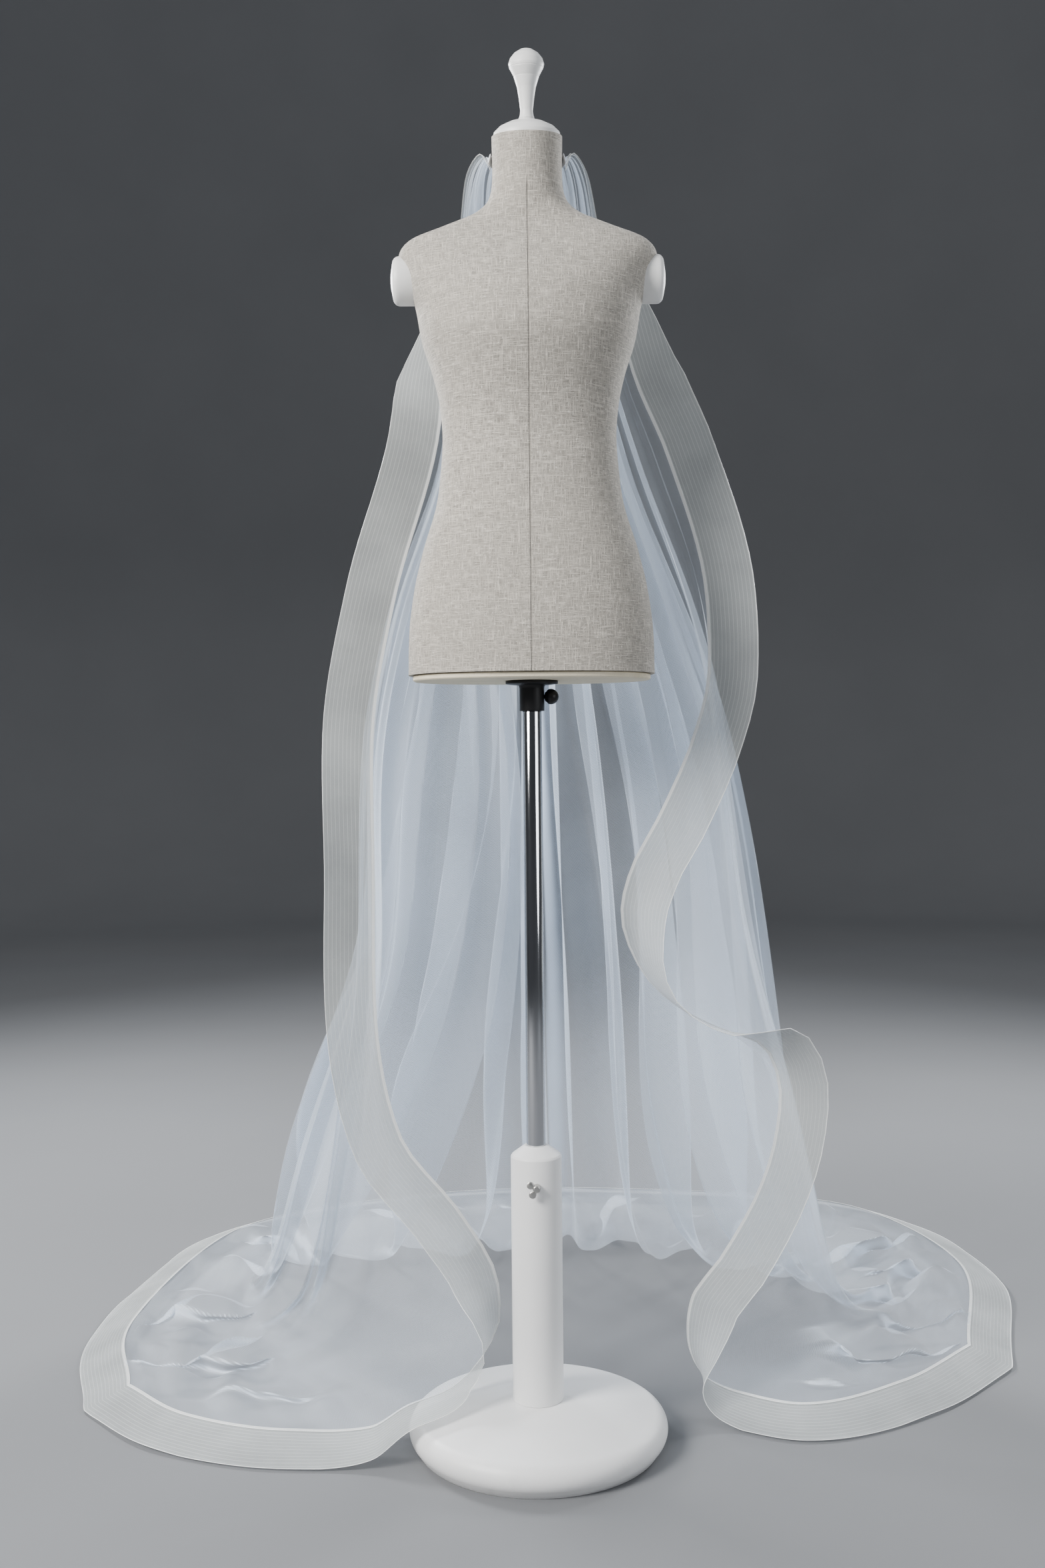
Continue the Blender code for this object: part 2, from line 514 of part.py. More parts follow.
def braid_frame(down, across, points, normals):
    """Round the sheet's edge: the seam, the braid's way out from it, its wall and the shared mitre."""
    left = smooth_through([r[0] for r in LEFT_SEAM], [r[4:6] for r in LEFT_SEAM], down)
    right = smooth_through([r[0] for r in RIGHT_SEAM], [r[4:6] for r in RIGHT_SEAM], down)
    bearing = smooth_through([r[0] for r in HEM_BEARINGS], [r[1:2] for r in HEM_BEARINGS], across)
    hem = np.concatenate([bearing, np.full_like(bearing, HEM_DIP)], axis=1)[1:-1]
    angles = np.radians(np.concatenate([left, hem, right[::-1]]))
    turn, dip = angles[:, 0], angles[:, 1]
    seam = round_the_edge(points)
    steps = unit(np.diff(seam, axis=0))
    tangent = unit(np.concatenate([steps[:1], steps[:-1] + steps[1:], steps[-1:]]))
    way = np.stack([np.cos(turn) * np.cos(dip), np.sin(turn) * np.cos(dip), np.sin(dip)], axis=1)
    way = unit(way - np.sum(way * tangent, axis=1, keepdims=True) * tangent)
    cloth = np.concatenate([points[:, 1], points[-2, 1:-1], points[::-1, -2]])
    cloth[len(down) - 1] = points[-2, 1]
    cloth[-len(down)] = points[-2, -2]
    mitre = unit(np.cross(tangent, way - unit(cloth - seam)))
    outward = round_the_edge(normals)
    mitre *= np.where(np.sum(mitre * outward, axis=1, keepdims=True) < 0, -1.0, 1.0)
    flat = unit(np.cross(tangent, way))
    flat *= np.where(np.sum(mitre * flat, axis=1, keepdims=True) < 0, -1.0, 1.0)
    return seam, way, flat, mitre


def wall(points, normals, thickness):
    """Closed faces of a wall: the grid moved half its thickness each way, with its four edges closed."""
    rows, columns = points.shape[:2]
    front = (points + normals * thickness / 2).reshape(-1, 3)
    back = (points - normals * thickness / 2).reshape(-1, 3)
    index = np.arange(rows * columns).reshape(rows, columns)
    offset = rows * columns
    a, b = index[:-1, :-1].ravel(), index[:-1, 1:].ravel()
    c, d = index[1:, 1:].ravel(), index[1:, :-1].ravel()
    faces = list(zip(a, d, c, b)) + list(zip(a + offset, b + offset, c + offset, d + offset))
    border = np.concatenate([index[0, :], index[1:, -1], index[-1, -2::-1], index[-2::-1, 0]])
    for i, j in zip(border[:-1], border[1:]):
        faces.append((i, j, j + offset, i + offset))
    return np.concatenate([front, back]), faces


def drawn_back(points, sides):
    """A grid whose named sides are drawn back by half a gap, so that neighbours stand a gap apart."""
    moved = points.copy()
    for side in sides:
        edge, inner = {
            "top": ((0, slice(None)), (1, slice(None))), "bottom": ((-1, slice(None)), (-2, slice(None))),
            "left": ((slice(None), 0), (slice(None), 1)), "right": ((slice(None), -1), (slice(None), -2)),
        }[side]
        way = moved[inner] - moved[edge]
        moved[edge] += unit(way) * GAP * 0.75
    return moved


def build_veil(parts, tulle_finish, braid_finish):
    """The sheet's stretches, three that hang and three that lie on the floor, and the braid round them."""
    down, across, points, normals = tulle_points()
    seam, way, flat, mitre = braid_frame(down, across, points, normals)
    corner_left, corner_right = len(down) - 1, len(down) + len(across) - 2
    normals[:, 0] = mitre[:corner_left + 1]
    normals[-1, :] = mitre[corner_left:corner_right + 1]
    normals[:, -1] = mitre[:corner_right - 1:-1]

    pieces = [("braid_left_edge", 0, corner_left), ("braid_right_edge", corner_right, len(seam) - 1)]
    for name, start, stop in STRETCHES:
        first = int(round(start * (len(across) - 1)))
        last = int(round(stop * (len(across) - 1)))
        pieces.append((f"braid_{name}_hem", corner_left + first, corner_left + last))
        for part, rows in (("fall", slice(0, FALL_ROWS + 1)), ("train", slice(FALL_ROWS, len(down)))):
            piece = drawn_back(points[rows, first:last + 1], ("top", "bottom", "left", "right"))
            verts, faces = wall(piece, normals[rows, first:last + 1], TULLE_WALL)
            add_mesh(f"tulle_{name}_{part}", verts, faces, tulle_finish, parts)

    grown = np.interp(down, (0.0, BRAID_FULL_WIDTH_AT), (BRAID_GATHERED_SHARE, 1.0))
    widths = np.full(len(seam), BRAID_WIDTH)
    widths[:corner_left + 1] = grown * BRAID_WIDTH
    widths[corner_right:] = grown[::-1] * BRAID_WIDTH
    strip = np.stack([seam + way * GAP * 0.75, seam + way * widths[:, None]], axis=1)
    strip[:, 1, 2] = np.maximum(strip[:, 1, 2], BRAID_FLOOR)
    strip_normals = np.stack([mitre, flat], axis=1)
    for name, first, last in pieces:
        piece = drawn_back(strip[first:last + 1], ("top", "bottom"))
        verts, faces = wall(piece, strip_normals[first:last + 1], BRAID_WALL)
        add_mesh(name, verts, faces, braid_finish, parts)


def build_gather_band(parts, finish):
    """The band at the nape that the tulle is gathered into, curved round the back of the neck."""
    angle = np.radians(np.linspace(4, 176, 17))
    rows = ((1.8015, GATHER_RADIUS), (1.8150, NECK_RADIUS + 0.0020))
    grid = np.empty((len(rows), len(angle), 3))
    lean = 0.0085
    for row, (height, radius) in enumerate(rows):
        grid[row, :, 0] = radius * np.cos(angle)
        grid[row, :, 1] = radius * np.sin(angle) - lean
        grid[row, :, 2] = height
    normals = np.stack([np.cos(angle), np.sin(angle), np.zeros_like(angle)], axis=1)
    verts, faces = wall(grid, np.repeat(normals[None], len(rows), axis=0), 0.0020)
    add_mesh("gather_band", verts, faces, finish, parts)


def main():
    for old in list(bpy.data.objects):
        bpy.data.objects.remove(old, do_unlink=True)
    parts = new_collection(OBJECT_NAME)
    cutters = new_collection("cutters")
    finishes = {
        "white_paint": material("white_paint", (0.80, 0.80, 0.80), 0.45),
        "white_plastic": material("white_plastic", (0.82, 0.82, 0.82), 0.40),
        "black_plastic": material("black_plastic", (0.02, 0.02, 0.02), 0.45),
        "chrome": material("chrome", (0.75, 0.76, 0.78), 0.08, 1.0),
        "zinc": material("zinc", (0.55, 0.56, 0.58), 0.30, 1.0),
        "linen": material("linen", (0.46, 0.43, 0.38), 0.90),
        "board": material("board", (0.72, 0.68, 0.58), 0.75),
        "tulle": material("tulle", (0.82, 0.86, 0.92), 0.70, alpha=0.35),
        "braid": material("braid", (0.80, 0.83, 0.85), 0.40, alpha=0.60),
    }
    build_stand(parts, cutters, finishes)
    build_form(parts, cutters, finishes)
    build_gather_band(parts, finishes["tulle"])
    build_veil(parts, finishes["tulle"], finishes["braid"])


main()
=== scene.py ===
"""A bridal veil on a dress form: the finishes and the fine shapes of every piece, as an add-on file.

Each operator makes one piece or a group of like pieces round the fixed frame of solids. The sheet of
tulle is one surface worked out from lines laid along the cloth, the wave of its folds and the flaps
of its train.
"""
import math

import bmesh
import bpy
import numpy as np
from bpy.props import FloatProperty, FloatVectorProperty, IntProperty, PointerProperty
from mathutils import Euler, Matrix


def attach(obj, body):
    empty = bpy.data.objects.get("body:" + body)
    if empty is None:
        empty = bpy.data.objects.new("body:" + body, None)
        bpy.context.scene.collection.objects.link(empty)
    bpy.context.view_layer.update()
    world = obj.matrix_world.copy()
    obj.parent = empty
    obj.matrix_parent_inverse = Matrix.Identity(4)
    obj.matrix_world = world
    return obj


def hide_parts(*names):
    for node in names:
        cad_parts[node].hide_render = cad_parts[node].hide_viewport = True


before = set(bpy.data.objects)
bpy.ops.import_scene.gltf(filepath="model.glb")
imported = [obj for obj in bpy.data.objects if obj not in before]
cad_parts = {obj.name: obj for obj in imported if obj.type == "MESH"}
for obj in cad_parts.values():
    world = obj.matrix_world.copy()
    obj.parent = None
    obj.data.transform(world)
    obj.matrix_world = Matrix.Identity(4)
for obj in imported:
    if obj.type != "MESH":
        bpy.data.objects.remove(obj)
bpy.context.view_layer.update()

bl_info = {
    "name": "Bridal veil on a dress form",
    "version": (1, 0, 0),
    "blender": (4, 5, 0),
    "location": "3D View > Sidebar > Veil",
    "description": "Makes a long tulle veil with wide braid, its dress form and its stand",
    "category": "Add Mesh",
}

ROOT = "root"

# The sheet's two side seams, as on the solids. Rows: share of the way from the gather to the hem,
# x, y, z, and the way the braid's width points: its bearing from +X in plan and its dip, in degrees.
LEFT_SEAM = (
    (0.000, -0.0537, 0.001, 1.800, 95, 0),
    (0.010, -0.0660, 0.012, 1.822, 90, 0),
    (0.024, -0.0860, 0.035, 1.802, 82, 0),
    (0.045, -0.0980, 0.078, 1.740, 84, 0),
    (0.090, -0.1220, 0.120, 1.630, 120, 0),
    (0.155, -0.1350, 0.122, 1.460, 188, 0),
    (0.260, -0.2030, 0.090, 1.200, 186, 0),
    (0.340, -0.2340, 0.068, 1.000, 190, 0),
    (0.411, -0.2330, 0.055, 0.800, 196, 0),
    (0.481, -0.2320, 0.050, 0.600, 192, 0),
    (0.548, -0.1980, 0.052, 0.422, 190, 0),
    (0.596, -0.1140, 0.055, 0.311, 196, 0),
    (0.634, -0.0600, 0.050, 0.216, 210, 0),
    (0.658, -0.0560, 0.040, 0.160, 235, 0),
    (0.680, -0.0790, 0.032, 0.110, 262, 0),
    (0.707, -0.1240, 0.012, 0.072, 268, 0),
    (0.733, -0.1830, -0.012, 0.058, 268, -8),
    (0.760, -0.2380, -0.020, 0.030, 266, -18),
    (0.830, -0.3600, -0.020, 0.028, 264, -20),
    (0.915, -0.5100, 0.034, 0.028, 250, -20),
    (1.000, -0.6200, 0.140, 0.028, 222, -20),
)
RIGHT_SEAM = (
    (0.000, 0.0537, 0.001, 1.800, 60, 0),
    (0.010, 0.0660, 0.012, 1.822, 65, 0),
    (0.024, 0.0860, 0.035, 1.802, 80, 0),
    (0.045, 0.1040, 0.075, 1.735, 88, 0),
    (0.085, 0.1320, 0.124, 1.640, 24, 0),
    (0.120, 0.1580, 0.128, 1.540, 0, 0),
    (0.170, 0.2070, 0.125, 1.420, 0, 0),
    (0.260, 0.2620, 0.110, 1.210, -4, 0),
    (0.305, 0.2640, 0.104, 1.095, -8, 0),
    (0.345, 0.2390, 0.098, 0.995, -8, 0),
    (0.379, 0.1920, 0.092, 0.890, -6, 0),
    (0.414, 0.1440, 0.088, 0.800, -10, 0),
    (0.444, 0.1310, 0.086, 0.735, -30, 0),
    (0.474, 0.1560, 0.088, 0.660, -62, 0),
    (0.500, 0.2050, 0.094, 0.605, -80, 0),
    (0.526, 0.2720, 0.104, 0.568, -80, 0),
    (0.556, 0.3450, 0.116, 0.535, -45, 30),
    (0.582, 0.3680, 0.122, 0.470, -12, 10),
    (0.612, 0.3600, 0.122, 0.395, -6, 0),
    (0.646, 0.3330, 0.120, 0.315, -4, 0),
    (0.680, 0.2790, 0.118, 0.222, -8, 0),
    (0.706, 0.2330, 0.114, 0.160, -20, 0),
    (0.732, 0.2260, 0.112, 0.100, -50, 0),
    (0.753, 0.2450, 0.108, 0.050, -80, -8),
    (0.775, 0.2950, 0.092, 0.029, -100, -18),
    (0.820, 0.3850, 0.050, 0.028, -96, -20),
    (0.910, 0.5500, 0.128, 0.028, -58, -20),
    (1.000, 0.6900, 0.265, 0.028, -34, -20),
)

# Lines down the cloth between the seams: share across, then rows of share down, x, y, z.
LEFT_SIDE = (0.13, (
    (0.00, -0.0470, 0.0191, 1.800), (0.010, -0.062, 0.032, 1.824), (0.024, -0.080, 0.060, 1.803),
    (0.045, -0.092, 0.108, 1.735), (0.09, -0.1040, 0.152, 1.610),
    (0.17, -0.1180, 0.162, 1.410), (0.26, -0.1830, 0.150, 1.185), (0.36, -0.2320, 0.150, 0.950),
    (0.48, -0.2520, 0.170, 0.650), (0.60, -0.3050, 0.222, 0.330), (0.68, -0.3550, 0.270, 0.110),
    (0.75, -0.4400, 0.318, 0.026), (0.87, -0.5700, 0.365, 0.024), (1.00, -0.6820, 0.410, 0.028)))
LEFT_FALL_OUTER = (0.26, (
    (0.00, -0.0390, 0.0296, 1.800), (0.010, -0.050, 0.046, 1.827), (0.024, -0.062, 0.078, 1.806),
    (0.045, -0.068, 0.130, 1.735), (0.09, -0.0740, 0.166, 1.605),
    (0.17, -0.0920, 0.176, 1.405), (0.26, -0.1480, 0.188, 1.180), (0.36, -0.2120, 0.226, 0.940),
    (0.48, -0.2620, 0.312, 0.650), (0.60, -0.3700, 0.450, 0.350), (0.67, -0.4350, 0.545, 0.150),
    (0.75, -0.4950, 0.665, 0.026), (0.87, -0.5500, 0.790, 0.024), (1.00, -0.6000, 0.900, 0.028)))
LEFT_FALL_INNER = (0.41, (
    (0.00, -0.0180, 0.0429, 1.800), (0.010, -0.026, 0.060, 1.829), (0.024, -0.032, 0.092, 1.808),
    (0.045, -0.035, 0.142, 1.735), (0.09, -0.0400, 0.165, 1.600),
    (0.17, -0.0500, 0.178, 1.400), (0.26, -0.0560, 0.210, 1.175), (0.36, -0.0580, 0.275, 0.935),
    (0.48, -0.0640, 0.392, 0.650), (0.60, -0.0760, 0.540, 0.350), (0.67, -0.0900, 0.645, 0.150),
    (0.75, -0.1300, 0.780, 0.026), (0.87, -0.1900, 0.980, 0.024), (1.00, -0.2500, 1.135, 0.028)))
BACK_CENTRE = (0.51, (
    (0.00, 0.0000, 0.0460, 1.800), (0.010, 0.000, 0.064, 1.830), (0.024, 0.000, 0.096, 1.809),
    (0.045, 0.000, 0.147, 1.735), (0.09, 0.0000, 0.168, 1.600),
    (0.17, 0.0020, 0.184, 1.400), (0.26, 0.0080, 0.226, 1.175), (0.36, 0.0120, 0.304, 0.935),
    (0.48, 0.0180, 0.430, 0.650), (0.60, 0.0250, 0.585, 0.350), (0.67, 0.0300, 0.690, 0.150),
    (0.75, 0.0250, 0.822, 0.026), (0.87, 0.0200, 1.020, 0.024), (1.00, 0.0150, 1.180, 0.028)))
RIGHT_FALL_INNER = (0.61, (
    (0.00, 0.0180, 0.0429, 1.800), (0.010, 0.026, 0.060, 1.829), (0.024, 0.032, 0.092, 1.808),
    (0.045, 0.037, 0.142, 1.735), (0.09, 0.0450, 0.166, 1.600),
    (0.17, 0.0650, 0.180, 1.400), (0.26, 0.0920, 0.212, 1.175), (0.36, 0.1180, 0.276, 0.935),
    (0.48, 0.1420, 0.386, 0.650), (0.60, 0.1750, 0.528, 0.350), (0.67, 0.2000, 0.628, 0.150),
    (0.75, 0.2350, 0.762, 0.026), (0.87, 0.2700, 0.960, 0.024), (1.00, 0.3000, 1.155, 0.028)))
RIGHT_FALL_OUTER = (0.75, (
    (0.00, 0.0390, 0.0296, 1.800), (0.010, 0.050, 0.046, 1.827), (0.024, 0.062, 0.078, 1.806),
    (0.045, 0.071, 0.131, 1.735), (0.09, 0.0800, 0.167, 1.605),
    (0.17, 0.1220, 0.178, 1.405), (0.26, 0.1900, 0.190, 1.180), (0.36, 0.2350, 0.232, 0.940),
    (0.48, 0.2720, 0.304, 0.650), (0.60, 0.3300, 0.408, 0.350), (0.67, 0.3800, 0.492, 0.150),
    (0.75, 0.4600, 0.622, 0.026), (0.87, 0.5700, 0.830, 0.024), (1.00, 0.6600, 1.030, 0.028)))
RIGHT_SIDE = (0.88, (
    (0.00, 0.0470, 0.0191, 1.800), (0.010, 0.062, 0.032, 1.824), (0.024, 0.080, 0.060, 1.803),
    (0.045, 0.095, 0.108, 1.737), (0.09, 0.1100, 0.154, 1.610),
    (0.17, 0.1600, 0.164, 1.410), (0.26, 0.2300, 0.164, 1.185), (0.36, 0.2920, 0.170, 0.950),
    (0.48, 0.3480, 0.196, 0.640), (0.60, 0.4150, 0.240, 0.330), (0.67, 0.4700, 0.285, 0.135),
    (0.72, 0.5200, 0.335, 0.060), (0.77, 0.5850, 0.395, 0.028),
    (0.87, 0.6750, 0.500, 0.024), (1.00, 0.7880, 0.660, 0.028)))
INNER_LINES = (
    LEFT_SIDE, LEFT_FALL_OUTER, LEFT_FALL_INNER, BACK_CENTRE, RIGHT_FALL_INNER, RIGHT_FALL_OUTER, RIGHT_SIDE
)

# The hem's braid: share across the cloth and bearing of its width. It dips to the floor.
HEM_BEARINGS = (
    (0.00, 222), (0.06, 195), (0.13, 176), (0.26, 138), (0.41, 100), (0.51, 90),
    (0.61, 82), (0.75, 42), (0.88, 2), (0.95, -12), (1.00, -34),
)
HEM_DIP = -20

# Fold depth down the cloth: share of the way down, depth either side of the sheet's mean.
FOLD_DEPTHS = (
    (0.00, 0.0010), (0.03, 0.0035), (0.09, 0.0060), (0.17, 0.0085), (0.26, 0.0120), (0.36, 0.0160),
    (0.48, 0.0215), (0.60, 0.0260), (0.70, 0.0140), (0.75, 0.0120), (0.87, 0.0130), (0.96, 0.0070),
    (1.00, 0.0),
)

# The slope of the neck's top, which the cap and the finial follow, in degrees, its height over the
# floor and how far forward it leans, then the cap's height and its profile over the neck's top.
NECK_SLOPE = 11
NECK_TOP = 1.8345
NECK_LEAN = .012
CAP_HEIGHT = .0245
NECK_PROFILE = (
    (0, .024), (.0115, .024), (.012, .021), (.024, .0195), (.038, .013), (.046, .0055), (.047, .0003),
    (0, .0003),
)

# The finial's profile, from its tip down to its foot: radius and height over the floor if it stood plumb.
FINIAL_FOOT = 1.8598
FINIAL_PROFILE = (
    (0, 1.950), (.008, 1.949), (.0165, 1.944), (.0225, 1.937), (.02475, 1.930), (.0240, 1.9262),
    (.0234, 1.9255), (.0236, 1.9248), (.0208, 1.9200), (.0180, 1.9148), (.0174, 1.9141), (.0174, 1.9132),
    (.013, 1.900), (.0105, 1.885), (.0088, 1.870), (.0095, 1.864), (.011, FINIAL_FOOT), (0, FINIAL_FOOT),
)

# Sections of the form: height, half width, depth to the front, depth to the back, forward lean.
FORM_SECTIONS = (
    (1.0868, 0.1730, 0.108, 0.115, 0.000),
    (1.145, 0.1715, 0.108, 0.118, 0.000),
    (1.207, 0.1635, 0.103, 0.116, 0.000),
    (1.260, 0.1510, 0.097, 0.108, 0.000),
    (1.327, 0.1310, 0.088, 0.095, 0.000),
    (1.372, 0.1250, 0.085, 0.088, 0.000),
    (1.418, 0.1220, 0.084, 0.086, 0.000),
    (1.460, 0.1250, 0.092, 0.090, 0.000),
    (1.505, 0.1345, 0.108, 0.096, 0.000),
    (1.553, 0.1495, 0.122, 0.102, 0.000),
    (1.600, 0.1580, 0.116, 0.106, 0.000),
    (1.640, 0.1700, 0.096, 0.106, 0.000),
    (1.672, 0.1810, 0.074, 0.096, 0.000),
    (1.692, 0.1680, 0.060, 0.080, 0.000),
    (1.710, 0.1240, 0.052, 0.068, 0.000),
    (1.728, 0.0780, 0.050, 0.060, 0.000),
    (1.747, 0.0560, 0.050, 0.054, 0.002),
    (1.775, 0.0492, 0.0492, 0.0492, 0.005),
    (NECK_TOP, 0.0492, 0.0492, 0.0492, NECK_LEAN),
)

# The share of the sheet's width over which its folds grow from nothing, in from each side seam.
EDGE_CALM = 0.16
# The least height of the tulle and of the braid over the floor.
FLOOR_CLEARANCE = 0.0018
BRAID_FLOOR = 0.0035
# The braid's width where it enters the gather, as a share of its own, and where it has its full width.
BRAID_GATHERED_SHARE = 0.12
BRAID_FULL_WIDTH_AT = 0.130
# The least that a net seen edge-on still faces its viewer: it limits how dense a fold's edge gets.
LEAST_FACING = 0.11

# How the folds wander off even spacing: how far, and turns of the wander across the cloth and down it.
FOLD_DRIFTS = ((0.22, 1.7, 0.5), (0.14, 4.3, -0.4), (0.08, 9.1, 0.3))
# The finer gathers between the main folds: how many to each fold.
GATHERS_TO_A_FOLD = 2.62
# The shares of the way down where the cloth has left off hanging, over what stretch it does so, and
# where the flaps and swells of the trains begin.
HANG_ENDS = 0.80
HANG_FADE = 0.12
TRAIN_STARTS = 0.73
# How far folds lie over to one side: share across, metres of slide to each metre of depth.
FOLD_LEANS = (
    (0.00, 1.2), (0.10, 1.7), (0.20, 2.5), (0.33, 2.3), (0.40, 1.5), (0.46, 0.5), (0.51, 0.1),
    (0.56, -0.5), (0.62, -1.4), (0.70, -2.2), (0.84, -2.4), (0.93, -1.6), (1.00, -1.2),
)
# The share of the sheet's rows above each share of the way down: closer where the cloth is worked most.
ROW_PLACES = ((0.00, 0.00), (0.13, 0.08), (0.44, 0.70), (1.00, 1.00))

# Flaps and ridges of the trains, in plan: x and y of each end, half width, height, and how far they
# lie over, in metres of slide to each metre of height, to the right of the way from first to second end.
# A flap runs out to nothing at both ends, and is highest a little before its middle: the taper sets
# how far before.
FLAP_TAPER = 0.8
FLAPS = (
    (-0.300, 0.262, -0.715, 0.240, 0.028, 0.016, -4.6), (-0.320, 0.410, -0.600, 0.160, 0.020, 0.012, 3.6),
    (-0.340, 0.480, -0.700, 0.425, 0.024, 0.014, -4.4), (-0.380, 0.560, -0.600, 0.660, 0.022, 0.013, 4.0),
    (-0.200, 0.110, -0.610, 0.105, 0.016, 0.009, -2.8), (-0.250, 0.340, -0.390, 0.120, 0.018, 0.011, 3.4),
    (-0.540, 0.500, -0.680, 0.330, 0.016, 0.010, 3.0),
    (0.330, 0.235, 0.770, 0.300, 0.030, 0.017, 4.8), (0.330, 0.430, 0.710, 0.570, 0.026, 0.015, 4.4),
    (0.470, 0.370, 0.780, 0.410, 0.018, 0.011, 3.6), (0.300, 0.420, 0.520, 0.140, 0.022, 0.013, -3.8),
    (0.450, 0.700, 0.800, 0.920, 0.030, 0.016, 4.6), (0.560, 0.600, 0.760, 0.700, 0.018, 0.011, 3.6),
    (0.330, 0.150, 0.600, 0.115, 0.016, 0.009, 2.8), (-0.290, 0.840, -0.390, 1.020, 0.026, 0.014, 4.4),
    (-0.040, 0.870, -0.130, 1.110, 0.026, 0.014, 4.4), (0.160, 0.850, 0.260, 1.100, 0.026, 0.014, -4.4),
    (0.400, 0.780, 0.530, 1.010, 0.022, 0.013, -4.0), (-0.450, 0.720, -0.620, 0.840, 0.022, 0.013, 4.0),
)

# The form's stitches and the braid's lengthwise threads.
STITCH_PITCH = 0.0042
BRAID_THREADS = 12

# The screws' places: the height of each axis over the floor, and how far the wings stand forward.
WING_AXIS = .372
WING_FORWARD = .0459
KNOB_AXIS = 1.056

# The lamps: name, place, the point it faces, width, power in watts, colour.
LAMPS = (
    ("key", (-2.7, -2.2, 2.6), (0, 0, 0.9), 1.6, 150, (1.0, 0.985, 0.96)),
    ("fill", (3.2, -2.4, 1.8), (0, 0, 0.8), 2.4, 40, (0.95, 0.975, 1.0)),
    ("back_left", (-2.0, 2.3, 2.4), (0, 0.3, 0.8), 1.0, 70, (0.97, 0.985, 1.0)),
    ("back_right", (2.2, 2.1, 2.1), (0, 0.3, 0.6), 1.0, 55, (0.97, 0.985, 1.0)),
)
WORLD_COLOUR = (0.80, 0.82, 0.85, 1)
WORLD_STRENGTH = 0.48
EXPOSURE = 0.35

# The camera: its place, how far it tips down and rolls, in degrees, and its lens and film height in mm.
CAMERA_PLACE = (-0.0141, -2.15, 0.967)
CAMERA_TIP = 0.9
CAMERA_ROLL = 0.54
LENS = 35.0
FILM_HEIGHT = 36.0

# The studio's floor: radius of its flat part, radius of its turn up into the wall, height of the wall.
FLOOR_RADIUS = 7.0
FLOOR_TURN = 2.5
WALL_TOP = 9.0


def shade(colour, factor):
    """A colour made lighter or darker by a factor."""
    return tuple(part * factor for part in colour)


class Val:
    """A shader socket that takes Python arithmetic: each operator adds one Math node."""

    def __init__(self, tree, socket):
        self.tree = tree
        self.socket = socket

    def _math(self, operation, other=None, swap=False):
        node = self.tree.nodes.new("ShaderNodeMath")
        node.operation = operation
        values = [self] if other is None else ([other, self] if swap else [self, other])
        for index, value in enumerate(values):
            if isinstance(value, Val):
                self.tree.links.new(value.socket, node.inputs[index])
            else:
                node.inputs[index].default_value = value
        return Val(self.tree, node.outputs[0])

    def __add__(self, other):
        return self._math("ADD", other)

    __radd__ = __add__

    def __sub__(self, other):
        return self._math("SUBTRACT", other)

    def __rsub__(self, other):
        return self._math("SUBTRACT", other, swap=True)

    def __mul__(self, other):
        return self._math("MULTIPLY", other)

    __rmul__ = __mul__

    def __pow__(self, other):
        return self._math("POWER", other)

    def __abs__(self):
        return self._math("ABSOLUTE")

    def sin(self):
        return self._math("SINE")

    def above(self, limit):
        return self._math("GREATER_THAN", limit)

    def greatest(self, other):
        return self._math("MAXIMUM", other)

    def least(self, other):
        return self._math("MINIMUM", other)


